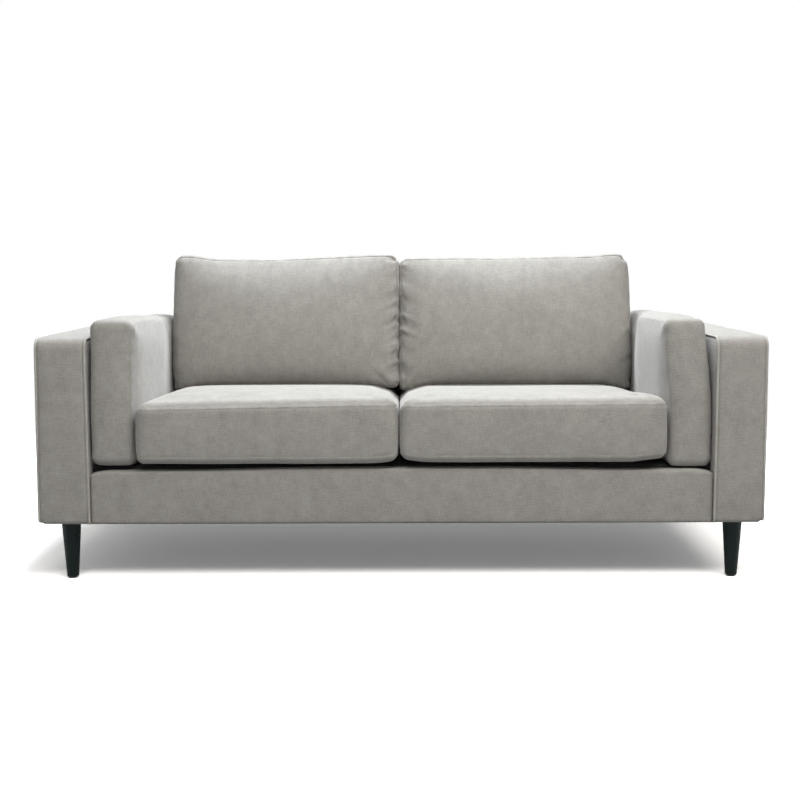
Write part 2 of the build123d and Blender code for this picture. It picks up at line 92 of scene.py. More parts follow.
# Loose cushions
sim_step = 12 * mm
cushion_step = 5.5 * mm
sim_frames = 20
seam_depth = 1.5 * mm
seam_width = 3.2 * mm
# seam_line_width sets the width of the painted shade line along cushion seams.
seam_line_width = 2.2 * mm
centre_shift = -6 * mm
pucker_spacing = 17 * mm
pucker_reach = 22 * mm
seam_clear = 4 * mm
filling_inset = 9 * mm
groove_walls = (5 * mm, 9 * mm)
groove_end = 6 * mm
tape_depths = (2.0 * mm, 0.6 * mm)
tooth_length = 1.1 * mm
tooth_width = 3.6 * mm
tooth_height = 1.4 * mm
tooth_pitch = 2.4 * mm
tooth_margin = 8 * mm
touching = 1e-6

# Upholstered frame
cover_step = 8 * mm
cover_edge_radius = 6 * mm
welt_line = 6.5 * mm
welt_depth = 2.2 * mm
welt_width = 1.7 * mm
cover_unevenness = 0.7 * mm
padding_inset = 9 * mm
padding_radius = 12 * mm
swell_edge = 25 * mm
arm_corner_radius = 30 * mm
arm_foot_radius = 11 * mm
outer_foot_radius = 18 * mm
piping_radius = 2.9 * mm
piping_inset = 1.6 * mm
piping_sides = 12
# The piping's lighter tone is a painted highlight for the lit ridge of the cord.
piping_painted_highlight = 1.25
foot_flare = {"left": 6 * mm, "right": 3 * mm}
flare_height = 0.4

hands = {"left": -1.0, "right": 1.0}


# Node trees
class Value:
    """A number or colour inside a node tree; plain operators add Math nodes."""

    def __init__(self, tree, socket):
        self.tree = tree
        self.socket = socket

    def math(self, operation, first, *rest):
        sockets = dict(enumerate((first, *rest)))
        return self.tree.add("ShaderNodeMath", {"operation": operation}, sockets)[0]

    def __add__(self, other):
        return self.math("ADD", self, other)

    def __radd__(self, other):
        return self.math("ADD", other, self)

    def __sub__(self, other):
        return self.math("SUBTRACT", self, other)

    def __rsub__(self, other):
        return self.math("SUBTRACT", other, self)

    def __mul__(self, other):
        return self.math("MULTIPLY", self, other)

    def __rmul__(self, other):
        return self.math("MULTIPLY", other, self)

    def sine(self):
        return self.math("SINE", self)

    def above(self, least):
        return self.math("MAXIMUM", self, least)

    def below(self, most):
        return self.math("MINIMUM", self, most)


class Outlets:
    """A node's outputs, by name or by number."""

    def __init__(self, tree, node):
        self.tree = tree
        self.node = node

    def __getitem__(self, key):
        return Value(self.tree, self.node.outputs[key])


class Tree:
    """A shader tree that grows one node at a time."""

    def __init__(self, node_tree):
        self.nodes = node_tree.nodes
        self.links = node_tree.links
        self.nodes.clear()

    def add(self, kind, settings=None, sockets=None):
        node = self.nodes.new(kind)
        for key, value in (settings or {}).items():
            setattr(node, key, value)
        for key, value in (sockets or {}).items():
            if isinstance(value, Value):
                self.links.new(value.socket, node.inputs[key])
            else:
                node.inputs[key].default_value = value
        return Outlets(self, node)

    def mix(self, share, low, high):
        sockets = {0: share, 6: low, 7: high}
        return self.add("ShaderNodeMix", {"data_type": "RGBA", "clamp_factor": True}, sockets)[2]

    def noise(self, vector, scale, detail=2.0, roughness=0.5):
        sockets = {"Vector": vector, "Scale": scale, "Detail": detail, "Roughness": roughness}
        return self.add("ShaderNodeTexNoise", None, sockets)["Fac"]

    def stretched(self, vector, factors):
        settings = {"operation": "MULTIPLY"}
        return self.add("ShaderNodeVectorMath", settings, {0: vector, 1: factors})[0]


def new_material(name):
    material = bpy.data.materials.new(name)
    material.use_nodes = True
    return material, Tree(material.node_tree)


def colour(tone, factor=1.0):
    return (tone[0] * factor, tone[1] * factor, tone[2] * factor, 1.0)


def close_material(tree, shader):
    tree.add("ShaderNodeOutputMaterial", None, {"Surface": shader})


def soft_woven_fabric(name, tone, sheen, pitch, mapped=True):
    """Soft brushed weave, on the piece's own weave map where it has one, with painted shade along its
    seams.
    """
    material, tree = new_material(name)
    if mapped:
        weave_map = tree.add("ShaderNodeUVMap", {"uv_map": "weave"})["UV"]
    else:
        weave_map = tree.add("ShaderNodeTexCoord")["Object"]
    parts = tree.add("ShaderNodeSeparateXYZ", None, {0: weave_map})
    turns = 2.0 * math.pi / pitch
    slub_grain = (38.0, 360.0, 38.0)
    cross_grain = (420.0, 46.0, 46.0)
    brush_grain = (34.0, 22.0, 22.0)
    contrast = 0.20
    seam_shade_share = 0.3
    seam_shade_tone = 0.42
    threads = (parts["X"] * turns).sine() * (parts["Y"] * turns).sine()
    slubs_along = tree.noise(tree.stretched(weave_map, slub_grain), 1.0, 3.0)
    slubs_across = tree.noise(tree.stretched(weave_map, cross_grain), 1.0, 3.0)
    slubs = (slubs_along + slubs_across) * 0.5
    mottle = tree.noise(weave_map, 300.0, 3.0, 0.66)
    brushed = tree.noise(tree.stretched(weave_map, brush_grain), 1.0, 4.0, 0.62)
    nap = tree.noise(weave_map, 8.0, 3.0, 0.55)
    # The seam mark paints shade: along seams the cloth is mixed towards a darker tone, standing in for
    # the shade in the seam crease.
    seam = tree.add("ShaderNodeAttribute", {"attribute_name": "seam"})["Fac"]
    fine = threads * 0.10 + (slubs - 0.5) * 1.9 + (mottle - 0.5) * 1.5
    broad = (brushed - 0.5) * 1.1 + (nap - 0.5) * 0.6
    cloth = tree.mix(fine + broad + 0.5, colour(tone, 1.0 - contrast), colour(tone, 1.0 + contrast))
    seam_shaded = tree.mix(seam * seam_shade_share, cloth, colour(tone, seam_shade_tone))
    height = threads * 0.25 + slubs * 0.5 + mottle * 0.9
    bump = tree.add("ShaderNodeBump", None, {"Strength": 0.35, "Distance": 1.0 * mm, "Height": height})
    shader = tree.add("ShaderNodeBsdfPrincipled", None, {
        "Base Color": seam_shaded,
        "Roughness": 0.98 - mottle * 0.14,
        "Specular IOR Level": 0.2,
        "Sheen Weight": sheen,
        "Sheen Roughness": 0.42,
        "Sheen Tint": (0.98, 0.98, 1.0, 1.0),
        "Normal": bump["Normal"],
    })
    close_material(tree, shader["BSDF"])
    return material


def grained_finish(name, tone, spread, grain, detail, roughness, metallic, bump_depth, shine=0.5):
    """A solid finish whose colour, gloss and surface follow one stretched grain."""
    material, tree = new_material(name)
    place = tree.add("ShaderNodeTexCoord")["Object"]
    lines = tree.noise(tree.stretched(place, grain), 1.0, detail, 0.6)
    cloud = tree.noise(place, 11.0, 2.0)
    shade = (lines - 0.5) * 1.5 + (cloud - 0.5) * 0.8 + 0.5
    base = tree.mix(shade, colour(tone, 1.0 - spread), colour(tone, 1.0 + spread))
    bump = tree.add("ShaderNodeBump", None, {"Strength": 0.4, "Distance": bump_depth, "Height": lines})
    shader = tree.add("ShaderNodeBsdfPrincipled", None, {
        "Base Color": base,
        "Roughness": (lines - 0.5) * 0.22 + roughness,
        "Metallic": metallic,
        "Specular IOR Level": shine,
        "Normal": bump["Normal"],
    })
    close_material(tree, shader["BSDF"])
    return material


upholstery = soft_woven_fabric("Upholstery fabric", fabric_tone, fabric_sheen, thread_pitch)
cushion_cloth = soft_woven_fabric("Cushion fabric", fabric_tone, fabric_sheen, thread_pitch)
# The piping is cut from the same fabric; its lighter tone is a painted highlight for the cord's lit
# ridge.
lit_piping_tone = colour(fabric_tone, piping_painted_highlight)[:3]
piping_cloth = soft_woven_fabric("Piping fabric", lit_piping_tone, fabric_sheen, thread_pitch, False)
# The deck cloth is near black; its darkness also stands in, as painted shade, for the shade in the gaps
# between the cushions.
deck_cloth = soft_woven_fabric("Deck cloth", (0.045, 0.045, 0.044), 0.1, 1.2 * mm)
dust_cloth = soft_woven_fabric("Dust cloth", (0.028, 0.028, 0.029), 0.1, 0.9 * mm)
zip_cloth = soft_woven_fabric("Zip tape", (0.20, 0.195, 0.185), 0.1, 0.8 * mm)
leg_paint = grained_finish(
    "Black leg paint", (0.0040, 0.0090, 0.0086), spread=0.3, grain=(900.0, 900.0, 45.0), detail=3.0,
    roughness=0.6, metallic=0.0, bump_depth=0.15 * mm, shine=0.11)
bare_timber = grained_finish(
    "Bare timber", (0.50, 0.34, 0.19), spread=0.28, grain=(420.0, 60.0, 420.0), detail=4.0,
    roughness=0.7, metallic=0.0, bump_depth=0.4 * mm)
cut_foam = grained_finish(
    "Cut foam", (0.72, 0.66, 0.48), spread=0.1, grain=(700.0, 700.0, 700.0), detail=2.0,
    roughness=0.95, metallic=0.0, bump_depth=0.8 * mm)
zinc_steel = grained_finish(
    "Zinc plated steel", (0.60, 0.61, 0.62), spread=0.14, grain=(900.0, 120.0, 900.0), detail=2.0,
    roughness=0.36, metallic=1.0, bump_depth=0.05 * mm)
spring_steel = grained_finish(
    "Spring steel", (0.20, 0.20, 0.21), spread=0.2, grain=(500.0, 500.0, 500.0), detail=2.0,
    roughness=0.4, metallic=1.0, bump_depth=0.05 * mm)
webbing_cloth = grained_finish(
    "Webbing", (0.11, 0.10, 0.09), spread=0.35, grain=(60.0, 1400.0, 1400.0), detail=2.0,
    roughness=0.9, metallic=0.0, bump_depth=0.3 * mm)
glide_plastic = grained_finish(
    "Black glide plastic", (0.022, 0.022, 0.023), spread=0.2, grain=(800.0, 800.0, 800.0), detail=2.0,
    roughness=0.55, metallic=0.0, bump_depth=0.05 * mm)
zip_metal = grained_finish(
    "Zip metal", (0.42, 0.41, 0.39), spread=0.16, grain=(1500.0, 1500.0, 1500.0), detail=2.0,
    roughness=0.38, metallic=1.0, bump_depth=0.03 * mm)


# Mesh helpers
def grid_lines(low, high, step, extra=()):
    """Even lines from low to high, with the extra ones kept and any even line too near them left out."""
    even = np.linspace(low, high, max(2, round((high - low) / step)) + 1)
    extra = np.array([line for line in extra if low < line < high])
    if len(extra):
        gap = np.abs(even[:, None] - extra[None, :]).min(axis=1)
        keep = gap > 0.45 * step
        keep[[0, -1]] = True
        even = np.concatenate([even[keep], extra])
    return np.unique(np.round(even, 7))


def close_lines(low, high, offsets):
    """Lines at set distances from both ends."""
    return [low + offset for offset in offsets] + [high - offset for offset in offsets]


def box_skin(lines):
    """The skin of a box cut by lines along X, Y and Z: points, outward quads, weave map, index block."""
    counts = [len(line) for line in lines]
    on_skin = np.zeros(counts, bool)
    for axis in range(3):
        side = np.moveaxis(on_skin, axis, 0)
        side[0] = True
        side[-1] = True
    index = np.full(counts, -1)
    index[on_skin] = np.arange(on_skin.sum())
    points = np.stack(np.meshgrid(*lines, indexing="ij"), axis=-1)[on_skin]
    quads = []
    weave = []
    for axis in range(3):
        across = [other for other in range(3) if other != axis]
        for end in (0, -1):
            sheet = np.take(index, end, axis=axis)
            loop = [sheet[:-1, :-1], sheet[1:, :-1], sheet[1:, 1:], sheet[:-1, 1:]]
            faces = np.stack(loop, axis=-1).reshape(-1, 4)
            outward = (end == -1) != (axis == 1)
            faces = faces if outward else faces[:, ::-1]
            quads.append(faces)
            weave.append(points[faces][:, :, across])
    return points, np.concatenate(quads), np.concatenate(weave), index


def rounded_box(points, low, high, radius):
    """Box skin points drawn onto a box with round edges, and their outward directions."""
    middle = (low + high) / 2.0
    half = (high - low) / 2.0
    local = points - middle
    radius = np.broadcast_to(radius, len(points))[:, None]
    inner = np.clip(local, -(half - radius), half - radius)
    out = local - inner
    direction = out / np.linalg.norm(out, axis=1)[:, None]
    return middle + inner + direction * radius, direction


def fade(values, start, end):
    """0 before start, 1 after end, smooth between them."""
    share = np.clip((values - start) / (end - start), 0.0, 1.0)
    return share * share * (3.0 - 2.0 * share)


def ripple(along, spacing, seed):
    """Smooth uneven waves along a line, from -1 to 1, the same for the same seed."""
    knot_count = 4096
    knots = np.random.default_rng(seed).uniform(-1.0, 1.0, knot_count)
    place = along / spacing + knot_count / 2
    start = np.floor(place).astype(int)
    share = place - start
    share = share * share * (3.0 - 2.0 * share)
    return knots[start] * (1.0 - share) + knots[start + 1] * share


def smooth_profile(places, knots, values):
    """A smooth curve through the given values at the given places."""
    reach = 22
    fine = np.linspace(knots[0], knots[-1], 400)
    rough = np.interp(fine, knots, values)
    window = np.hanning(2 * reach + 1)
    padded = np.pad(rough, reach, mode="edge")
    curve = np.convolve(padded, window / window.sum(), mode="valid")
    return np.interp(places, fine, curve)


def soft_noise(points, size, seed):
    """Slow uneven swell over a surface, from -1 to 1."""
    generator = np.random.default_rng(seed)
    total = np.zeros(len(points))
    wave_count = 7
    for _ in range(wave_count):
        wave = generator.normal(size=3)
        wave *= 2.0 * math.pi / (size * np.linalg.norm(wave))
        total += np.sin(points @ wave + generator.uniform(0.0, 2.0 * math.pi))
    return total / 4.0


def new_piece(name, points, quads, weave, material, seam=None):
    """A smooth mesh piece with its weave map and, where it is sewn, its seam marks, which the fabric
    darkens as painted shade.
    """
    mesh = bpy.data.meshes.new(name)
    mesh.from_pydata(np.asarray(points).tolist(), [], np.asarray(quads).tolist())
    layer = mesh.uv_layers.new(name="weave")
    layer.data.foreach_set("uv", np.asarray(weave, np.float32).ravel())
    if seam is not None:
        mark = mesh.attributes.new("seam", "FLOAT", "POINT")
        mark.data.foreach_set("value", np.asarray(seam, np.float32))
    mesh.polygons.foreach_set("use_smooth", np.ones(len(mesh.polygons), bool))
    mesh.materials.append(material)
    mesh.update()
    piece = bpy.data.objects.new(name, mesh)
    scene.collection.objects.link(piece)
    return piece


def settle_piece(piece, body, nodes):
    """Gives a piece its body and hides the nodes it stands for."""
    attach(piece, body)
    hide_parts(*nodes)


def node_box(name):
    low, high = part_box(name)
    return np.array(low), np.array(high)


# Geometry node trees
def new_geometry_tree(name, inputs):
    """A geometry tree with one geometry input, the named inputs and one geometry output."""
    tree = bpy.data.node_groups.new(name, "GeometryNodeTree")
    tree.interface.new_socket("Geometry", in_out="INPUT", socket_type="NodeSocketGeometry")
    keys = {}
    for label, kind in inputs.items():
        socket = tree.interface.new_socket(label, in_out="INPUT", socket_type=kind)
        keys[label] = socket.identifier
    tree.interface.new_socket("Geometry", in_out="OUTPUT", socket_type="NodeSocketGeometry")
    entry = tree.nodes.new("NodeGroupInput")
    leave = tree.nodes.new("NodeGroupOutput")
    return tree, keys, entry, leave


def close_geometry_tree(tree, entry, leave, grown):
    """Ends a geometry tree with real meshes in its finish."""
    real = tree.nodes.new("GeometryNodeRealizeInstances")
    paint = tree.nodes.new("GeometryNodeSetMaterial")
    tree.links.new(grown, real.inputs["Geometry"])
    tree.links.new(real.outputs["Geometry"], paint.inputs["Geometry"])
    tree.links.new(entry.outputs["Finish"], paint.inputs["Material"])
    tree.links.new(paint.outputs["Geometry"], leave.inputs["Geometry"])


def cord_along_edge_tree():
    """A round sewn cord that follows a curve."""
    inputs = {"Cord radius": "NodeSocketFloat", "Sides": "NodeSocketInt", "Finish": "NodeSocketMaterial"}
    tree, keys, entry, leave = new_geometry_tree("Cord along an edge", inputs)
    ring = tree.nodes.new("GeometryNodeCurvePrimitiveCircle")
    tube = tree.nodes.new("GeometryNodeCurveToMesh")
    tube.inputs["Fill Caps"].default_value = True
    tree.links.new(entry.outputs["Cord radius"], ring.inputs["Radius"])
    tree.links.new(entry.outputs["Sides"], ring.inputs["Resolution"])
    tree.links.new(entry.outputs["Geometry"], tube.inputs["Curve"])
    tree.links.new(ring.outputs["Curve"], tube.inputs["Profile Curve"])
    close_geometry_tree(tree, entry, leave, tube.outputs["Mesh"])
    return tree, keys


def bars_along_line_tree():
    """Small bars set along a curve at an even pitch: zip teeth and staples."""
    inputs = {"Pitch": "NodeSocketFloat", "Bar size": "NodeSocketVector", "Finish": "NodeSocketMaterial"}
    tree, keys, entry, leave = new_geometry_tree("Bars along a line", inputs)
    spaced = tree.nodes.new("GeometryNodeCurveToPoints")
    spaced.mode = "LENGTH"
    bar = tree.nodes.new("GeometryNodeMeshCube")
    turn = tree.nodes.new("FunctionNodeAlignRotationToVector")
    turn.axis = "X"
    copies = tree.nodes.new("GeometryNodeInstanceOnPoints")
    tree.links.new(entry.outputs["Geometry"], spaced.inputs["Curve"])
    tree.links.new(entry.outputs["Pitch"], spaced.inputs["Length"])
    tree.links.new(entry.outputs["Bar size"], bar.inputs["Size"])
    tree.links.new(spaced.outputs["Tangent"], turn.inputs["Vector"])
    tree.links.new(spaced.outputs["Points"], copies.inputs["Points"])
    tree.links.new(bar.outputs["Mesh"], copies.inputs["Instance"])
    tree.links.new(turn.outputs["Rotation"], copies.inputs["Rotation"])
    close_geometry_tree(tree, entry, leave, copies.outputs["Instances"])
    return tree, keys


def path_object(name, paths):
    """A curve object with one straight-lined run for each path."""
    data = bpy.data.curves.new(name, "CURVE")
    data.dimensions = "3D"
    for path in paths:
        spline = data.splines.new("POLY")
        spline.points.add(len(path) - 1)
        for point, place in zip(spline.points, path):
            point.co = (*place, 1.0)
    holder = bpy.data.objects.new(name + "_path", data)
    scene.collection.objects.link(holder)
    return holder


def grown_piece(name, holder, tree, keys, values):
    """Runs a geometry tree on a path and keeps the result as a plain mesh piece."""
    modifier = holder.modifiers.new("grow", "NODES")
    modifier.node_group = tree
    for label, value in values.items():
        modifier[keys[label]] = value
    bpy.context.view_layer.update()
    graph = bpy.context.evaluated_depsgraph_get()
    mesh = bpy.data.meshes.new_from_object(holder.evaluated_get(graph))
    mesh.name = name
    holder.modifiers.remove(modifier)
    path = holder.data
    bpy.data.objects.remove(holder)
    bpy.data.curves.remove(path)
    piece = bpy.data.objects.new(name, mesh)
    scene.collection.objects.link(piece)
    return piece


cord_tree, cord_keys = cord_along_edge_tree()
bars_tree, bars_keys = bars_along_line_tree()


def smooth_faces(piece):
    piece.data.polygons.foreach_set("use_smooth", np.ones(len(piece.data.polygons), bool))


# Upholstered frame
def rounded_slab(points, low, high, radius):
    """Rounds the edges of a slab's two side faces and leaves its side view square; also gives the
    outward directions and how far each point lies inside its side view's outline."""
    middle = (low + high) / 2.0
    half = (high - low) / 2.0
    local = points - middle
    gap = half - np.abs(local)
    from_side = gap[:, 0]
    from_outline = np.minimum(gap[:, 1], gap[:, 2])
    out_side = np.maximum(radius - from_side, 0.0)
    out_outline = np.maximum(radius - from_outline, 0.0)
    length = np.hypot(out_side, out_outline)
    edge = (out_side > 0.0) & (out_outline > 0.0)
    new_side = np.where(edge, radius - radius * out_side / length, from_side)
    new_outline = np.where(edge, radius - radius * out_outline / length, from_outline)
    places = local.copy()
    places[:, 0] = np.sign(local[:, 0]) * (half[0] - new_side)
    for axis in (1, 2):
        room = half[axis] - new_outline
        places[:, axis] = np.clip(local[:, axis], -room, room)
    outward = np.zeros_like(local)
    nearest = np.argmin(gap, axis=1)
    outward[np.arange(len(local)), nearest] = np.sign(local[np.arange(len(local)), nearest])
    return middle + places, outward, np.where(from_side > from_outline, from_side, from_outline)


def round_edge(points, axes, centre, facing):
    """Draws the points beyond an edge's centre line in onto a round edge."""
    centre = np.array(centre)
    facing = np.array(facing)
    out = (points[:, axes] - centre) * facing
    corner = (out > 0.0).all(axis=1)
    past = out[corner]
    scale = past.max(axis=1) / np.hypot(past[:, 0], past[:, 1])
    points[np.ix_(corner, axes)] = centre + facing * past * scale[:, None]


def round_side_view(points, low, high, top_radius, foot_radius):
    """Rounds the four corners that a slab shows from the side."""
    moved = points.copy()
    for facing in (-1.0, 1.0):
        wall = high[1] if facing > 0 else low[1]
        for edge, radius, up in ((high[2], top_radius, 1.0), (low[2], foot_radius, -1.0)):
            round_edge(moved, [1, 2], (wall - facing * radius, edge - up * radius), (facing, up))
    return moved


def round_outer_foot(points, low, high, side):
    """Turns an arm's lower outer edge under, as its cover is drawn over the padding."""
    moved = points.copy()
    wall = high[0] if side > 0 else low[0]
    centre = (wall - side * outer_foot_radius, low[2] + outer_foot_radius)
    round_edge(moved, [0, 2], centre, (side, -1.0))
    return moved


def flare_foot(points, low, high, hand):
    """Lets an arm's outer side stand out a little towards its foot."""
    side = hands[hand]
    moved = points.copy()
    half = (high[0] - low[0]) / 2.0
    down = 1.0 - fade(moved[:, 2], low[2], low[2] + flare_height)
    outer = fade((moved[:, 0] - low[0] - half) * side, 0.0, half)
    moved[:, 0] += side * foot_flare[hand] * down * outer
    return moved


def swell(points, low, high, axis, end, depth, power):
    """Pushes one face of a slab out in its middle, as padding under a tight cover does."""
    shape = np.ones(len(points))
    for other in range(3):
        if other != axis:
            place = (2.0 * points[:, other] - low[other] - high[other]) / (high[other] - low[other])
            shape *= 1.0 - np.abs(np.clip(place, -1.0, 1.0)) ** power
    face = high[axis] if end > 0 else low[axis]
    near = fade(-np.abs(points[:, axis] - face), -swell_edge, 0.0)
    return end * depth * shape * near


def upholstered_slab(low, high, edge_radius, top_radius, foot_radius, swells, seed, fine, welt=False):
    """The skin of a padded slab under a tight cover, and how deep its welt seam lies at each point."""
    lines = [grid_lines(low[axis], high[axis], cover_step, close_lines(low[axis], high[axis], fine))
             for axis in range(3)]
    points, quads, weave, _ = box_skin(lines)
    places, outward, from_edge = rounded_slab(points, low, high, edge_radius)
    places = round_side_view(places, low, high, top_radius, foot_radius)
    pushed = places.copy()
    for axis, end, depth, power in swells:
        pushed[:, axis] += swell(places, low, high, axis, end, depth, power)
    sewn = np.exp(-((from_edge - welt_line) / welt_width) ** 2) if welt else np.zeros(len(points))
    rise = soft_noise(places, 0.34, seed) * cover_unevenness - sewn * welt_depth
    pushed += outward * rise[:, None]
    return pushed, quads, weave, sewn


def make_arm(hand, side):
    """An arm's cover with its piping, and the padding under it."""
    low, high = node_box(f"{hand}_arm_cover")
    swells = [
        (1, -1.0, 4.0 * mm, 5.0),
        (1, 1.0, 4.0 * mm, 5.0),
        (2, 1.0, 4.5 * mm, 5.0),
        (0, side, 8.0 * mm, 16.0),
        (0, -side, 0.8 * mm, 5.0),
    ]
    fine = [2 * mm, 4.5 * mm, 6.5 * mm, 8.5 * mm, 11 * mm, 15 * mm, 20 * mm, 25 * mm, 31 * mm]
    places, quads, weave, sewn = upholstered_slab(low, high, cover_edge_radius, arm_corner_radius,
                                                  arm_foot_radius, swells, 11 + int(side), fine, True)
    places = flare_foot(round_outer_foot(places, low, high, side), low, high, hand)
    # The welt mark also paints shade into the fabric along the welt groove.
    piece = new_piece(f"{hand}_arm_upholstery", places, quads, weave, upholstery, sewn)
    settle_piece(piece, "frame", [f"{hand}_arm_cover"])
    make_arm_piping(hand, low, high, side)
    low = low + padding_inset
    high = high - padding_inset
    padding, quads, weave, _ = upholstered_slab(low, high, padding_radius, arm_corner_radius,
                                                padding_radius, [], 15, [5 * mm])
    padding = round_outer_foot(padding, low, high, side)
    piece = new_piece(f"{hand}_arm_padding", padding, quads, weave, cut_foam)
    settle_piece(piece, "frame", [f"{hand}_arm_foam"])


def arm_edge_path(x, low, high):
    """The line of an arm's side edge: up the front, over the top, down the back."""
    front = low[1] + piping_inset
    rear = high[1] - piping_inset
    top = high[2] - piping_inset
    bend = arm_corner_radius - piping_inset
    foot_bend = arm_foot_radius - piping_inset
    floor = low[2] + piping_inset
    corners = [
        (front + foot_bend, floor + foot_bend, foot_bend, 1.5 * math.pi, math.pi),
        (front + bend, top - bend, bend, math.pi, 0.5 * math.pi),
        (rear - bend, top - bend, bend, 0.5 * math.pi, 0.0),
        (rear - foot_bend, floor + foot_bend, foot_bend, 0.0, -0.5 * math.pi),
    ]
    path = []
    for centre_y, centre_z, radius, start, end in corners:
        for angle in np.linspace(start, end, 13):
            path.append((x, centre_y + radius * math.cos(angle), centre_z + radius * math.sin(angle)))
    return path


def make_arm_piping(hand, low, high, side):
    """Cords along both side edges of an arm."""
    paths = []
    for x in (low[0] + piping_inset, high[0] - piping_inset):
        path = np.array(arm_edge_path(x, low, high))
        paths.append(flare_foot(round_outer_foot(path, low, high, side), low, high, hand).tolist())
    holder = path_object(f"{hand}_piping", paths)
    values = {"Cord radius": piping_radius, "Sides": piping_sides, "Finish": piping_cloth}
    piece = grown_piece(f"{hand}_arm_piping_cord", holder, cord_tree, cord_keys, values)
    smooth_faces(piece)
    settle_piece(piece, "frame", [f"{hand}_arm_piping"])


def make_front_border():
    """The padded border under the seat cushions' fronts, a little lower towards its ends."""
    low, high = node_box("front_border_cover")
    set_back = 4 * mm
    edge_radius = 8 * mm
    foot_radius = 5 * mm
    end_run = 55 * mm
    end_drop = 9 * mm
    end_fall = 6 * mm
    end_fall_run = (0.2, 0.6)
    low = low + np.array([0.4, 0.0, 0.3]) * mm
    low[1] += set_back
    high = high - np.array([0.4, 0.0, 0.2]) * mm
    swells = [(1, -1.0, 2.0 * mm, 4.0)]
    fine = [2 * mm, 5 * mm, 9 * mm, 14 * mm]
    places, quads, weave, _ = upholstered_slab(low, high, edge_radius, edge_radius, foot_radius,
                                               swells, 21, fine)
    from_end = np.clip((np.abs(places[:, 0]) - high[0] + end_run) / end_run, 0.0, 1.0)
    top = fade(places[:, 2], (low[2] + high[2]) / 2.0, high[2])
    outer_fall = end_fall * fade(np.abs(places[:, 0]), *end_fall_run)
    places[:, 2] -= top * (end_drop * from_end ** 2 + outer_fall)
    piece = new_piece("front_border_upholstery", places, quads, weave, upholstery)
    settle_piece(piece, "frame", ["front_border_cover"])


def make_back_cover():
    """The padded back panel behind the back cushions."""
    low, high = node_box("back_cover")
    edge_radius = 8 * mm
    top_radius = 18 * mm
    foot_radius = 9 * mm
    low = low + np.array([0.4, 0.3, 0.3]) * mm
    high = high - np.array([0.4, 0.0, 0.0]) * mm
    swells = [(1, 1.0, 4.0 * mm, 4.0), (2, 1.0, 3.0 * mm, 4.0)]
    fine = [2 * mm, 5 * mm, 9 * mm, 14 * mm, 20 * mm, 26 * mm]
    places, quads, weave, _ = upholstered_slab(low, high, edge_radius, top_radius, foot_radius,
                                               swells, 31, fine)
    piece = new_piece("back_upholstery", places, quads, weave, upholstery)
    settle_piece(piece, "frame", ["back_cover"])


def make_deck():
    """The sprung deck under the seat cushions, with a soft hollow between the springs."""
    low, high = node_box("deck_cloth")
    edge_radius = 3 * mm
    spring_spacing = 165 * mm
    hollow_depth = 1.6 * mm
    hollow_wave = 1.2 * mm
    lines = []
    for axis in range(3):
        near_edge = close_lines(low[axis], high[axis], [2 * mm, 5 * mm])
        lines.append(grid_lines(low[axis], high[axis], 12 * mm, near_edge))
    points, quads, weave, _ = box_skin(lines)
    places, _ = rounded_box(points, low, high, edge_radius)
    top = fade(places[:, 2], low[2] + edge_radius, high[2])
    edge = 1.0 - np.abs(2.0 * places[:, 1] - low[1] - high[1]) ** 2 / (high[1] - low[1]) ** 2
    hollow = hollow_depth + hollow_wave * np.cos(places[:, 0] * 2.0 * math.pi / spring_spacing)
    places[:, 2] -= top * edge * hollow
    piece = new_piece("sprung_deck", places, quads, weave, deck_cloth)
    settle_piece(piece, "frame", ["deck_cloth"])


def make_dust_cover():
    """Thin cloth stapled under the frame, cut out round the leg plates."""
    low, high = node_box("dust_cover")
    _, plate_high = node_box("leg_plates")
    plate_side = 65 * mm
    room = 1.5 * mm
    step = 15 * mm
    sag_depth = 2.5 * mm
    cuts = []
    for axis in range(2):
        outer = plate_high[axis] + room
        inner = plate_high[axis] - plate_side - room
        cuts.append([inner, outer, -inner, -outer])
    xs = grid_lines(low[0], high[0], step, cuts[0])
    ys = grid_lines(low[1], high[1], step, cuts[1])
    grid_x, grid_y = np.meshgrid(xs, ys, indexing="ij")
    sag = (1.0 - (grid_x / high[0]) ** 2) * (1.0 - (grid_y / high[1]) ** 2)
    grid_z = high[2] - 0.5 * mm - sag_depth * sag
    points = np.stack([grid_x, grid_y, grid_z], axis=-1).reshape(-1, 3)
    index = np.arange(len(points)).reshape(grid_x.shape)
    loop = [index[:-1, :-1], index[:-1, 1:], index[1:, 1:], index[1:, :-1]]
    quads = np.stack(loop, axis=-1).reshape(-1, 4)
    centres = np.abs(points[quads].mean(axis=1))
    over_x = (centres[:, 0] > cuts[0][0]) & (centres[:, 0] < cuts[0][1])
    over_y = (centres[:, 1] > cuts[1][0]) & (centres[:, 1] < cuts[1][1])
    quads = quads[~(over_x & over_y)]
    used, quads = np.unique(quads, return_inverse=True)
    quads = quads.reshape(-1, 4)
    points = points[used]
    piece = new_piece("dust_cloth_sheet", points, quads, points[quads][:, :, :2], dust_cloth)
    settle_piece(piece, "frame", ["dust_cover"])
    make_staples(low, high)


def make_staples(low, high):
    """Staples along the dust cover's four edges, clear of the leg plates."""
    inset = 7 * mm
    level = low[2] + 0.1 * mm
    left = low[0] + inset
    right = high[0] - inset
    front = low[1] + inset
    rear = high[1] - inset
    plate_gap = 110 * mm
    paths = [
        [(left + plate_gap, front, level), (right - plate_gap, front, level)],
        [(left + plate_gap, rear, level), (right - plate_gap, rear, level)],
        [(left, front + plate_gap, level), (left, rear - plate_gap, level)],
        [(right, front + plate_gap, level), (right, rear - plate_gap, level)],
    ]
    holder = path_object("staples", paths)
    values = {"Pitch": 60 * mm, "Bar size": (11 * mm, 0.8 * mm, 0.6 * mm), "Finish": zinc_steel}
    piece = grown_piece("dust_cloth_staples", holder, bars_tree, bars_keys, values)
    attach(piece, "frame")


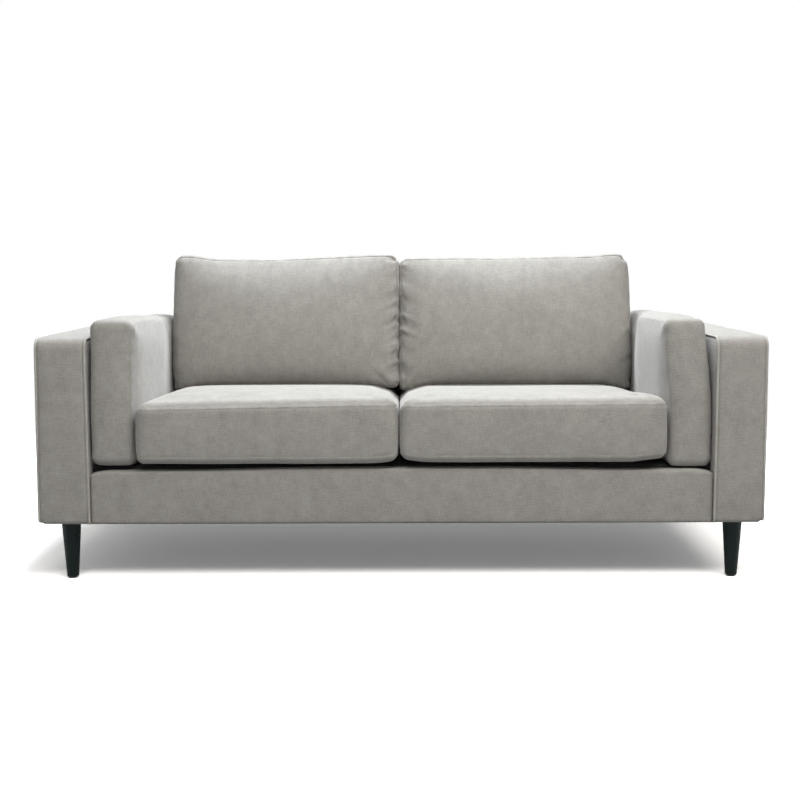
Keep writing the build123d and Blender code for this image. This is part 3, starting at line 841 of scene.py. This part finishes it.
# Loose cushions
def cushion_skin(form, points):
    """A cushion before its filling settles: places, outward directions, distance to the nearest seam,
    the run along that seam and how hard the seam draws the cloth in."""
    low = form["low"]
    high = form["high"]
    axis = form["axis"]
    first, second = [other for other in range(3) if other != axis]
    half = (high - low) / 2.0
    local = points - (low + high) / 2.0
    share = local / half
    blend = fade(share[:, axis], -0.6, 0.6)
    radius = form["radius_low"] + (form["radius_high"] - form["radius_low"]) * blend
    places, outward = rounded_box(points, low, high, radius)
    power = form["crown_power"]
    second_power = np.where(share[:, second] > 0.0, power, form["lower_power"])
    dome = (1.0 - np.abs(share[:, first]) ** power) * (1.0 - np.abs(share[:, second]) ** second_power)
    crown = np.where(share[:, axis] > 0.0, form["crown_high"], -form["crown_low"])
    places[:, axis] += dome * crown
    border = outward.copy()
    border[:, axis] = 0.0
    places += border * (form["border_swell"] * (1.0 - share[:, axis] ** 2))[:, None]
    gap = half - np.abs(local)
    over_edge = gap[:, axis] - np.minimum(gap[:, first], gap[:, second])
    seam_place = np.where(share[:, axis] > 0.0, form["seam_high"], form["seam_low"])
    to_seam = np.abs(over_edge - seam_place)
    drawn = np.where(share[:, axis] > 0.0, form["seam_draw"][1], form["seam_draw"][0])
    along = np.where(gap[:, first] < gap[:, second], points[:, second], points[:, first])
    places = form["settle"](places, share)
    return places, outward, to_seam, along, drawn


def cloth_swell(form, places, quads, to_seam, at_rest):
    """Cloth simulation under pressure, sewn fast along its seams; returns how far each point moved."""
    mesh = bpy.data.meshes.new("cloth_trial")
    mesh.from_pydata(places.tolist(), [], quads.tolist())
    trial = bpy.data.objects.new("cloth_trial", mesh)
    scene.collection.objects.link(trial)
    held = trial.vertex_groups.new(name="held")
    fixed = np.flatnonzero((to_seam < 0.55 * sim_step) | at_rest)
    held.add(fixed.tolist(), 1.0, "REPLACE")
    gathered = trial.vertex_groups.new(name="gathered")
    fullness = np.round(1.0 - fade(to_seam, 0.0, form["gather_reach"]), 2)
    for level in np.unique(fullness):
        if level > 0.0:
            gathered.add(np.flatnonzero(fullness == level).tolist(), float(level), "REPLACE")
    cloth = trial.modifiers.new("cloth", "CLOTH")
    settings = cloth.settings
    settings.quality = 7
    settings.mass = 0.25
    settings.tension_stiffness = 18.0
    settings.compression_stiffness = 10.0
    settings.shear_stiffness = 4.0
    settings.bending_stiffness = form["stiffness"]
    settings.air_damping = 2.0
    settings.use_pressure = True
    settings.uniform_pressure_force = form["pressure"]
    settings.vertex_group_mass = "held"
    settings.vertex_group_shrink = "gathered"
    settings.shrink_max = -form["gather"]
    settings.effector_weights.gravity = 0.0
    cloth.point_cache.frame_start = 1
    cloth.point_cache.frame_end = sim_frames
    for step in range(1, sim_frames + 1):
        scene.frame_set(step)
    graph = bpy.context.evaluated_depsgraph_get()
    result = trial.evaluated_get(graph).data
    moved = np.zeros(len(places) * 3, np.float32)
    result.vertices.foreach_get("co", moved)
    bpy.data.objects.remove(trial)
    bpy.data.meshes.remove(mesh)
    scene.frame_set(1)
    shift = moved.reshape(-1, 3).astype(float) - places
    length = np.linalg.norm(shift, axis=1)
    most = form["swell_limit"]
    soft = most * np.tanh(length / most) / np.maximum(length, 1e-9)
    return shift * soft[:, None]


def spline_weights(coarse, fine):
    """Weights that carry values from even lines to finer ones along a smooth curve."""
    step = coarse[1] - coarse[0]
    place = np.clip((fine - coarse[0]) / step, 0.0, len(coarse) - 1.0)
    start = np.minimum(np.floor(place).astype(int), len(coarse) - 2)
    t = place - start
    parts = [
        0.5 * (-t + 2.0 * t ** 2 - t ** 3),
        0.5 * (2.0 - 5.0 * t ** 2 + 3.0 * t ** 3),
        0.5 * (t + 4.0 * t ** 2 - 3.0 * t ** 3),
        0.5 * (-t ** 2 + t ** 3),
    ]
    weights = np.zeros((len(fine), len(coarse)))
    rows = np.arange(len(fine))
    for offset, part in zip((-1, 0, 1, 2), parts):
        np.add.at(weights, (rows, np.clip(start + offset, 0, len(coarse) - 1)), part)
    return weights


def carry_over(shift, coarse_lines, coarse_index, fine_lines, fine_index, count):
    """Takes the cloth's movement from the simulated skin to the finer one."""
    carried = np.zeros((count, 3))
    for axis in range(3):
        first, second = [other for other in range(3) if other != axis]
        along_first = spline_weights(coarse_lines[first], fine_lines[first])
        along_second = spline_weights(coarse_lines[second], fine_lines[second])
        for end in (0, -1):
            source = shift[np.take(coarse_index, end, axis=axis)]
            target = np.take(fine_index, end, axis=axis)
            carried[target] = np.einsum("ai,bj,ijc->abc", along_first, along_second, source)
    return carried


def zip_groove(form, places, outward):
    """A shallow channel in the border where the zip is sewn in."""
    low, high = form["zip_box"]
    facing = form["zip_facing"]
    deep = np.zeros(3)
    deep[facing] = form["zip_end"]
    along = form["zip_along"]
    across = [axis for axis in range(3) if axis not in (facing, along)][0]
    middle = (low[across] + high[across]) / 2.0
    inside = 1.0 - fade(np.abs(places[:, across] - middle), *groove_walls)
    inside *= fade(places[:, along], low[along] - groove_end, low[along])
    inside *= 1.0 - fade(places[:, along], high[along], high[along] + groove_end)
    inside *= (outward[:, facing] * form["zip_end"] > 0.75)
    floor = low[facing] if form["zip_end"] > 0 else high[facing]
    moved = places.copy()
    moved[:, facing] += inside * (floor - places[:, facing])
    return moved


def make_cushion(name, form):
    """A cushion's filling, sewn cover and zip, from its form."""
    low = form["low"]
    high = form["high"]
    axis = form["axis"]
    coarse_lines = [grid_lines(low[i], high[i], sim_step) for i in range(3)]
    near_seam = [2.2 * mm, 5 * mm, 9 * mm, 14 * mm, 19 * mm]
    fine_lines = []
    for i in range(3):
        extra = close_lines(low[i], high[i], near_seam)
        if i == axis:
            for seam in (high[i] - form["seam_high"], low[i] + form["seam_low"]):
                extra += [seam + offset * mm for offset in (-4.0, -1.6, 0.0, 1.6, 4.0)]
        if i == form["zip_across"]:
            middle = (form["zip_box"][0][i] + form["zip_box"][1][i]) / 2.0
            extra += [middle + offset * mm for offset in (-10.0, -7.5, -5.0, 0.0, 5.0, 7.5, 10.0)]
        fine_lines.append(grid_lines(low[i], high[i], cushion_step, extra))
    points, quads, weave, index = box_skin(fine_lines)
    places, outward, to_seam, along, drawn = cushion_skin(form, points)
    rough_points, rough_quads, rough_weave, rough_index = box_skin(coarse_lines)
    rough_places, rough_outward, rough_seam, _, _ = cushion_skin(form, rough_points)
    at_rest = form["at_rest"](rough_points)
    shift = cloth_swell(form, rough_places, rough_quads, rough_seam, at_rest)
    rough_places += shift
    places += carry_over(shift, coarse_lines, rough_index, fine_lines, index, len(points))
    stuffing = form["keep_clear"](rough_places) - rough_outward * filling_inset
    filling = new_piece(f"{name}_filling", stuffing, rough_quads, rough_weave, cut_foam)
    settle_piece(filling, name, [f"{name}_core"])
    pinch = drawn * np.exp(-(to_seam / seam_width) ** 2)
    clear_of_seam = 1.0 - np.exp(-to_seam / seam_clear)
    gathers = np.exp(-to_seam / pucker_reach) * clear_of_seam
    waves = ripple(along, pucker_spacing, form["seed"]) * form["pucker"]
    for centre, reach, inward, height, spacing in form["gathers"]:
        away = (points - np.array(centre)) / np.array(reach)
        zone = np.exp(-np.sum(away ** 2, axis=1))
        pull = np.exp(-to_seam / inward) * clear_of_seam
        folds = ripple(along + 0.4 * to_seam, spacing, form["seed"] + 7)
        waves = waves + zone * pull / np.maximum(gathers, 0.02) * height * folds
    places += outward * (gathers * waves - pinch * seam_depth)[:, None]
    for centre, reach, depth in form["dents"]:
        away = (places - np.array(centre)) / np.array(reach)
        places -= outward * (depth * np.exp(-np.sum(away ** 2, axis=1)))[:, None]
    places += outward * (soft_noise(points, 0.21, form["seed"]) * form["unevenness"])[:, None]
    places = form["keep_clear"](places)
    places = zip_groove(form, places, outward)
    # Painted shade: a thin dark line along each seam, marked for the fabric to darken.
    line = drawn * np.exp(-(to_seam / seam_line_width) ** 2)
    piece = new_piece(f"{name}_pad", places, quads, weave, cushion_cloth, line)
    settle_piece(piece, name, [f"{name}_cover"])
    make_zip(name, form)


def make_zip(name, form):
    """Zip tape in its channel, with a row of teeth along the middle."""
    low, high = form["zip_box"]
    facing = form["zip_facing"]
    along = form["zip_along"]
    end = form["zip_end"]
    tape_low = low.copy()
    tape_high = high.copy()
    outer = high[facing] if end > 0 else low[facing]
    tape_low[facing], tape_high[facing] = sorted(outer - end * depth for depth in tape_depths)
    lines = [grid_lines(tape_low[i], tape_high[i], 6 * mm) for i in range(3)]
    points, quads, weave, _ = box_skin(lines)
    places, _ = rounded_box(points, tape_low, tape_high, 0.5 * mm)
    piece = new_piece(f"{name}_zip_strip", places, quads, weave, zip_cloth)
    settle_piece(piece, name, [f"{name}_zip_tape"])
    start = (low + high) / 2.0
    start[facing] = outer - end * 0.5 * mm
    stop = start.copy()
    start[along] = low[along] + tooth_margin
    stop[along] = high[along] - tooth_margin
    size = [tooth_length, tooth_width, tooth_width]
    size[facing] = tooth_height
    holder = path_object(f"{name}_teeth", [[tuple(start), tuple(stop)]])
    values = {"Pitch": tooth_pitch, "Bar size": tuple(size), "Finish": zip_metal}
    teeth = grown_piece(f"{name}_zip_teeth", holder, bars_tree, bars_keys, values)
    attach(teeth, name)


def bottom_or_rear(points, low, high):
    """The points on a cushion's bottom and rear faces, which rest against what carries it."""
    return (points[:, 2] < low[2] + touching) | (points[:, 1] > high[1] - touching)


def inner_and_outer(hand, low, high):
    """A cushion's sides towards the sofa's centre and away from it."""
    return (high[0], low[0]) if hand == "left" else (low[0], high[0])


def seat_form(hand, side):
    """A seat cushion: flat and full, rolled over the front border, lower where the back stands on it."""
    low, high = node_box(f"seat_cushion_{hand}_cover")
    cad_box = (low.copy(), high.copy())
    rear_fall = 15 * mm
    rear_fall_run = (-0.42, 0.0)
    back_press = 17 * mm
    back_press_run = (-0.08, 0.12)
    front_run = 160 * mm
    lift_run = (20 * mm, 200 * mm)
    side_gap = 2.5 * mm
    rear_gap = 4 * mm
    deck_gap = 0.2 * mm
    top_rise = 9 * mm if hand == "left" else 13 * mm
    crown = 9 * mm if hand == "left" else 1 * mm
    front_tilt = 6 * mm if hand == "left" else 2.5 * mm
    inner_roll = 80 * mm
    outer_roll = 70 * mm if hand == "left" else 90 * mm
    end_fall = 15 * mm if hand == "left" else 18 * mm
    front_lift = 13 * mm if hand == "left" else 15.5 * mm
    inner_lift = 0.7
    outer_lift = 0.0 if hand == "left" else 10 * mm
    outer_room = 2.5 * mm
    overhang = 18 * mm
    low[0], high[0] = low[0] + centre_shift * (side > 0), high[0] + centre_shift * (side < 0)
    low[0] -= outer_room * (side < 0)
    high[0] += outer_room * (side > 0)
    pad_low = low + np.array([side_gap, -overhang, deck_gap])
    pad_high = high + np.array([-side_gap, -rear_gap, top_rise])
    inner, outer = inner_and_outer(hand, pad_low, pad_high)

    def settle(places, share):
        moved = places.copy()
        top = fade(share[:, 2], -0.2, 1.0)
        moved[:, 2] -= top * rear_fall * fade(places[:, 1], *rear_fall_run)
        moved[:, 2] -= top * back_press * fade(places[:, 1], *back_press_run)
        front = 1.0 - fade(places[:, 1], pad_low[1], pad_low[1] + front_run)
        moved[:, 2] += top * front * front_tilt * share[:, 0]
        from_inner = np.clip(1.0 - (inner - places[:, 0]) * -side / inner_roll, 0.0, 1.0)
        from_outer = np.clip(1.0 - (places[:, 0] - outer) * -side / outer_roll, 0.0, 1.0)
        moved[:, 2] -= top * (1.0 - front) * end_fall * np.maximum(from_inner, from_outer) ** 2
        near_front = 1.0 - fade(places[:, 1], pad_low[1] + lift_run[0], pad_low[1] + lift_run[1])
        lower = 1.0 - fade(share[:, 2], -1.0, 0.2)
        lift = front_lift * (1.0 + inner_lift * from_inner ** 2) + outer_lift * from_outer
        moved[:, 2] += lower * near_front * lift
        return moved

    def keep_clear(places):
        moved = places.copy()
        moved[:, 0] = np.clip(moved[:, 0], low[0], high[0])
        moved[:, 1] = np.minimum(moved[:, 1], cad_box[1][1])
        moved[:, 2] = np.maximum(moved[:, 2], cad_box[0][2])
        return moved

    def at_rest(points):
        return bottom_or_rear(points, pad_low, pad_high)

    return {
        "low": pad_low, "high": pad_high, "axis": 2, "radius_low": 19 * mm, "radius_high": 28 * mm,
        "seam_high": 22 * mm, "seam_low": 22 * mm,
        "crown_high": crown, "crown_low": 0.0, "crown_power": 4.0, "lower_power": 4.0,
        "border_swell": 2.5 * mm, "seam_draw": (0.3, 1.0),
        "settle": settle, "keep_clear": keep_clear, "at_rest": at_rest,
        "pressure": 1.5, "stiffness": 0.8, "gather": 0.015, "gather_reach": 70 * mm,
        "swell_limit": 4 * mm, "pucker": 0.9 * mm, "unevenness": 0.8 * mm, "seed": 101 + int(side),
        "gathers": [((inner, pad_low[1], pad_high[2]), (0.10, 0.10, 0.05), 28 * mm, 2.2 * mm, 26 * mm)],
        "dents": [], "fill": 0.85,
        "zip_box": node_box(f"seat_cushion_{hand}_zip_tape"),
        "zip_facing": 1, "zip_end": 1.0, "zip_along": 0, "zip_across": 2,
    }


def back_form(hand, side):
    """A back cushion: domed to the front, leaning back, its top uneven and its lower corners drooping."""
    low, high = node_box(f"back_cushion_{hand}_cover")
    cad_box = (low.copy(), high.copy())
    front_place = 0.148
    sink = 22 * mm
    side_gap = 2 * mm
    rear_gap = 2.5 * mm
    top_gap = 2 * mm
    rear_fall = 17 * mm
    over_frame = 10 * mm
    over_frame_run = 80 * mm
    taper_run = (0.60, 0.84)
    centre_give = 4 * mm
    open_run = (0.62, 0.68, 0.74)
    rear_room = 14 * mm
    rear_room_run = 60 * mm
    lowest_droop = 38 * mm
    low[0], high[0] = low[0] + centre_shift * (side > 0), high[0] + centre_shift * (side < 0)
    outer_give = 17 * mm if hand == "left" else 20 * mm
    touch = 1.2 * mm
    taper = 4 * mm if hand == "left" else 7 * mm
    low[0] -= outer_give if hand == "left" else touch
    high[0] += touch if hand == "left" else outer_give
    pad_low = np.array([low[0] + side_gap, front_place, low[2] - sink])
    pad_high = np.array([high[0] - side_gap, high[1] - rear_gap, high[2] - top_gap])
    inner, outer = inner_and_outer(hand, pad_low, pad_high)
    right = pad_high[0]
    if hand == "left":
        top_places = (-1.0, -0.86, -0.66, -0.50, -0.10, 0.30, 0.60, 0.85, 1.0)
        top_drops = (2.0, 0.0, 11.5, 13.5, 13.0, 8.0, 3.0, 0.0, 2.0)
    else:
        top_places = (-1.0, -0.90, -0.50, 0.00, 0.50, 0.70, 0.86, 1.0)
        top_drops = (14.0, 11.5, 10.5, 9.5, 7.0, 4.5, 0.0, 3.0)
    lean = math.tan(math.radians(11.5))
    centre_droop = 3 * mm if hand == "left" else 14 * mm
    outer_droop = 14 * mm
    rest_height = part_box("back_cover")[1][2]

    def settle(places, share):
        moved = places.copy()
        forward = np.clip((pad_high[1] - places[:, 1]) / (pad_high[1] - pad_low[1]), 0.0, 1.3)
        tall = pad_high[2] - pad_low[2]
        rise = np.maximum(places[:, 2] - pad_low[2], 0.0) / tall
        moved[:, 1] += forward * lean * tall * rise ** 1.5
        top = fade(share[:, 2], 0.1, 1.0)
        drop = smooth_profile(share[:, 0], top_places, top_drops) * mm
        rear = fade(share[:, 1], -0.9, 1.0)
        moved[:, 2] -= top * (drop + rear * rear_fall)
        free = fade(places[:, 2], rest_height, rest_height + over_frame_run)
        moved[:, 1] += free * rear * over_frame * (1.0 - share[:, 0] ** 4)
        outwards = share[:, 0] * side
        moved[:, 0] -= side * taper * fade(places[:, 2], *taper_run) * fade(outwards, 0.2, 1.0)
        at_centre = fade(-outwards, 0.93, 1.0)
        open_zone = fade(places[:, 2], *open_run[:2]) * (1.0 - fade(places[:, 2], *open_run[1:]))
        moved[:, 0] -= side * at_centre * centre_give * (1.0 - share[:, 1] ** 2 - open_zone)
        lower = 1.0 - fade(share[:, 2], -1.0, -0.6)
        moved[:, 2] -= lower * fade(-outwards, 0.75, 1.0) * centre_droop
        moved[:, 2] -= lower * fade(outwards, 0.75, 1.0) * outer_droop
        return moved

    def keep_clear(places):
        moved = places.copy()
        moved[:, 0] = np.clip(moved[:, 0], low[0], high[0])
        over_back = fade(moved[:, 2], rest_height, rest_height + rear_room_run)
        moved[:, 1] = np.minimum(moved[:, 1], cad_box[1][1] + rear_room * over_back)
        moved[:, 2] = np.maximum(moved[:, 2], cad_box[0][2] - lowest_droop)
        return moved

    def at_rest(points):
        on_frame = (points[:, 1] > pad_high[1] - touching) & (points[:, 2] < rest_height)
        return on_frame | (points[:, 2] < pad_low[2] + touching)

    gathers = [
        ((inner, pad_low[1], 0.62), (0.09, 0.2, 0.16), 26 * mm, 12.0 * mm, 14 * mm),
        ((outer, pad_low[1], 0.56), (0.07, 0.2, 0.12), 24 * mm, 3.5 * mm, 18 * mm),
    ]
    dents = [
        ((right - 12 * mm, 0.225, pad_high[2] - 14 * mm), (0.016, 0.05, 0.012), 8 * mm),
        ((outer, 0.16, pad_low[2] + 14 * mm), (0.02, 0.05, 0.014), 6 * mm),
    ]
    if hand == "right":
        dents.append(((inner + 14 * mm, 0.13, pad_low[2] + 26 * mm), (0.006, 0.06, 0.018), 6 * mm))
    return {
        "low": pad_low, "high": pad_high, "axis": 1, "radius_low": 25 * mm, "radius_high": 28 * mm,
        "seam_high": 4 * mm, "seam_low": 4 * mm,
        "crown_high": 3 * mm, "crown_low": 54 * mm, "crown_power": 3.6, "lower_power": 2.5,
        "border_swell": 3 * mm, "seam_draw": (1.0, 1.0),
        "settle": settle, "keep_clear": keep_clear, "at_rest": at_rest,
        "pressure": 3.0, "stiffness": 0.5, "gather": 0.06, "gather_reach": 90 * mm,
        "swell_limit": 11 * mm, "pucker": 1.3 * mm, "unevenness": 1.4 * mm, "seed": 201 + int(side),
        "gathers": gathers, "dents": dents, "fill": 0.75,
        "zip_box": node_box(f"back_cushion_{hand}_zip_tape"),
        "zip_facing": 2, "zip_end": -1.0, "zip_along": 0, "zip_across": 1,
    }


def arm_form(hand, side):
    """An arm cushion: upright, leaning in over the seat, pressed in where it passes the back cushion."""
    low, high = node_box(f"arm_cushion_{hand}_cover")
    cad_box = (low.copy(), high.copy())
    deck_gap = 0.2 * mm
    rear_gap = 2 * mm
    top_gap = 4 * mm
    lean_run = (0.42, 0.70)
    upright_share = 0.75
    upright_run = (-0.40, -0.26)
    rear_drop_run = (-0.3, 0.2)
    press_run = (-0.08, 0.14)
    press_extra = 3 * mm
    lift_run = 80 * mm
    seat_run = (0.44, 0.50)
    lean_room = 4 * mm
    lean_room_run = (-0.02, 0.12)
    back_room_run = (0.06, 0.14)
    outer_give = 6 * mm
    inner_inset = 8 * mm
    overhang = 6 * mm if hand == "left" else -3 * mm
    pad_low = low + np.array([0.0, -overhang, deck_gap])
    pad_high = high - np.array([0.0, rear_gap, top_gap])
    pad_low[0] += inner_inset if side > 0 else -outer_give
    pad_high[0] += outer_give if side > 0 else -inner_inset
    inner, _ = inner_and_outer(hand, pad_low, pad_high)
    top_narrow = 0.0 if hand == "left" else 0.06
    top_lean = 6.5 * mm if hand == "left" else 20 * mm
    rear_drop = 17 * mm if hand == "left" else 8 * mm
    front_lift = 9 * mm if hand == "left" else 0.0
    back_room = 19 * mm if hand == "left" else 22 * mm
    press_depth = back_room - inner_inset + press_extra

    def settle(places, share):
        moved = places.copy()
        top = fade(share[:, 2], 0.2, 1.0)
        middle = (pad_low[0] + pad_high[0]) / 2.0
        moved[:, 0] -= top * top_narrow * (places[:, 0] - middle)
        leaning = top_lean * fade(places[:, 2], *lean_run)
        moved[:, 0] -= side * leaning
        upright = upright_share * leaning * fade(places[:, 1], *upright_run)
        moved[:, 0] += side * upright * (0.5 + 0.5 * side * share[:, 0])
        moved[:, 2] -= top * rear_drop * fade(places[:, 1], *rear_drop_run)
        pressed = (press_depth + leaning) * fade(places[:, 1], *press_run)
        moved[:, 0] += side * pressed * (0.5 - 0.5 * side * share[:, 0])
        near_front = 1.0 - fade(places[:, 1], pad_low[1], pad_low[1] + lift_run)
        lower = 1.0 - fade(share[:, 2], -1.0, -0.6)
        moved[:, 2] += lower * near_front * front_lift
        return moved

    def keep_clear(places):
        moved = places.copy()
        above_seat = fade(moved[:, 2], *seat_run)
        before_back = 1.0 - fade(moved[:, 1], *lean_room_run)
        inner_give = (top_lean + lean_room) * above_seat * before_back
        inner_give = inner_give - back_room * fade(moved[:, 1], *back_room_run)
        inner_low = cad_box[0][0] - (inner_give if side > 0 else outer_give)
        inner_high = cad_box[1][0] + (inner_give if side < 0 else outer_give)
        moved[:, 0] = np.clip(moved[:, 0], inner_low, inner_high)
        moved[:, 1] = np.minimum(moved[:, 1], cad_box[1][1])
        moved[:, 2] = np.maximum(moved[:, 2], cad_box[0][2])
        return moved

    def at_rest(points):
        return bottom_or_rear(points, pad_low, pad_high)

    return {
        "low": pad_low, "high": pad_high, "axis": 0, "radius_low": 20 * mm, "radius_high": 20 * mm,
        "seam_high": 2 * mm, "seam_low": 2 * mm,
        "crown_high": 3 * mm, "crown_low": 3 * mm, "crown_power": 4.0, "lower_power": 4.0,
        "border_swell": 3 * mm, "seam_draw": (0.4, 0.4),
        "settle": settle, "keep_clear": keep_clear, "at_rest": at_rest,
        "pressure": 3.0, "stiffness": 0.6, "gather": 0.04, "gather_reach": 60 * mm,
        "swell_limit": 7 * mm, "pucker": 1.0 * mm, "unevenness": 0.8 * mm, "seed": 301 + int(side),
        "gathers": [((inner, pad_low[1], 0.60), (0.06, 0.06, 0.09), 20 * mm, 1.8 * mm, 17 * mm)],
        "dents": [], "fill": 0.8,
        "zip_box": node_box(f"arm_cushion_{hand}_zip_tape"),
        "zip_facing": 2, "zip_end": -1.0, "zip_along": 1, "zip_across": 0,
    }


# Carried-over solids
def finish_solids():
    """Gives each solid that keeps its shape the finish of its slot."""
    finishes = {
        "timber": bare_timber, "foam": cut_foam, "leg_black": leg_paint, "zinc_steel": zinc_steel,
        "spring_steel": spring_steel, "webbing": webbing_cloth, "glide_plastic": glide_plastic,
        "zip_metal": zip_metal,
    }
    for row in frame["record"]["subparts"]:
        finish = finishes.get(row["material_slot"])
        if finish is not None:
            solid = frame["nodes"][row["node"]]
            solid.data.materials.clear()
            solid.data.materials.append(finish)


# Stage, light and camera
def make_floor():
    """A pale floor that turns white far away; it looks brighter than the light it throws back."""
    mesh = bpy.data.meshes.new("floor")
    r = floor_reach
    mesh.from_pydata([(-r, -r, 0.0), (r, -r, 0.0), (r, r, 0.0), (-r, r, 0.0)], [], [(0, 1, 2, 3)])
    floor = bpy.data.objects.new("floor", mesh)
    scene.collection.objects.link(floor)
    material, tree = new_material("Pale floor")
    path = tree.add("ShaderNodeLightPath")
    place = tree.add("ShaderNodeTexCoord")["Object"]
    away = tree.add("ShaderNodeVectorMath", {"operation": "LENGTH"}, {0: place})["Value"]
    far = (away * floor_white_slope - floor_white_offset).above(0.0).below(1.0)
    pale = colour(floor_tone)
    lit_floor = tree.add("ShaderNodeBsdfDiffuse", None, {"Color": pale})["BSDF"]
    glow = tree.add("ShaderNodeEmission", None, {"Color": pale, "Strength": floor_glow})["Emission"]
    bright_floor = tree.add("ShaderNodeAddShader", None, {0: lit_floor, 1: lit_floor})[0]
    near_floor = tree.add("ShaderNodeAddShader", None, {0: bright_floor, 1: glow})[0]
    dim_floor = tree.add("ShaderNodeBsdfDiffuse", None, {"Color": colour(floor_bounce)})["BSDF"]
    far_floor = tree.add("ShaderNodeEmission", None, {"Color": white, "Strength": 1.0})["Emission"]
    seen = tree.add("ShaderNodeMixShader", None, {0: far, 1: near_floor, 2: far_floor})[0]
    looked_at = path["Is Camera Ray"] + path["Is Glossy Ray"] + path["Is Transmission Ray"]
    both = tree.add("ShaderNodeMixShader", None, {0: looked_at.below(1.0), 1: dim_floor, 2: seen})[0]
    close_material(tree, both)
    mesh.materials.append(material)


def make_sky():
    """A white backdrop that lights the sofa less than it shows."""
    world = bpy.data.worlds.new("Studio")
    world.use_nodes = True
    scene.world = world
    tree = Tree(world.node_tree)
    path = tree.add("ShaderNodeLightPath")
    seen = path["Is Camera Ray"] + path["Is Glossy Ray"] + path["Is Transmission Ray"]
    backdrop = tree.add("ShaderNodeBackground", None, {"Color": white, "Strength": 1.0})["Background"]
    glow = tree.add("ShaderNodeBackground", None, {"Color": white, "Strength": sky_level})["Background"]
    mixed = tree.add("ShaderNodeMixShader", None, {0: seen.below(1.0), 1: glow, 2: backdrop})[0]
    tree.add("ShaderNodeOutputWorld", None, {"Surface": mixed})


def make_light(name, power, tint, size, place, target):
    data = bpy.data.lights.new(name, "AREA")
    data.shape = "RECTANGLE"
    data.size = size[0]
    data.size_y = size[1]
    data.energy = power
    data.color = tint
    lamp = bpy.data.objects.new(name, data)
    lamp.location = place
    lamp.rotation_euler = (Vector(target) - Vector(place)).to_track_quat("-Z", "Y").to_euler()
    scene.collection.objects.link(lamp)


def make_camera():
    data = bpy.data.cameras.new("camera")
    data.sensor_width = sensor_width
    data.lens = focal_length_pixels / image_width * sensor_width
    data.clip_end = 200.0
    camera = bpy.data.objects.new("camera", data)
    scene.collection.objects.link(camera)
    forward = Vector((
        math.sin(camera_yaw) * math.cos(camera_pitch),
        math.cos(camera_yaw) * math.cos(camera_pitch),
        -math.sin(camera_pitch),
    ))
    level = Vector((math.cos(camera_yaw), -math.sin(camera_yaw), 0.0))
    upright = level.cross(forward)
    right = math.cos(camera_roll) * level + math.sin(camera_roll) * upright
    up = -math.sin(camera_roll) * level + math.cos(camera_roll) * upright
    turn = Matrix((right, up, -forward)).transposed()
    camera.matrix_world = Matrix.Translation(camera_place) @ turn.to_4x4()
    scene.camera = camera


make_camera()
make_sky()
make_floor()
make_light("top_light", top_light_power, top_light_tint, top_light_size, top_light_place,
           top_light_target)
make_light("front_light", front_light_power, front_light_tint, front_light_size, front_light_place,
           front_light_target)
make_light("rear_light", rear_light_power, rear_light_tint, rear_light_size, rear_light_place,
           rear_light_target)
finish_solids()
for hand, side in hands.items():
    make_arm(hand, side)
make_front_border()
make_back_cover()
make_deck()
make_dust_cover()
for hand, side in hands.items():
    make_cushion(f"seat_cushion_{hand}", seat_form(hand, side))
    make_cushion(f"back_cushion_{hand}", back_form(hand, side))
    make_cushion(f"arm_cushion_{hand}", arm_form(hand, side))

scene.view_settings.view_transform = "Standard"
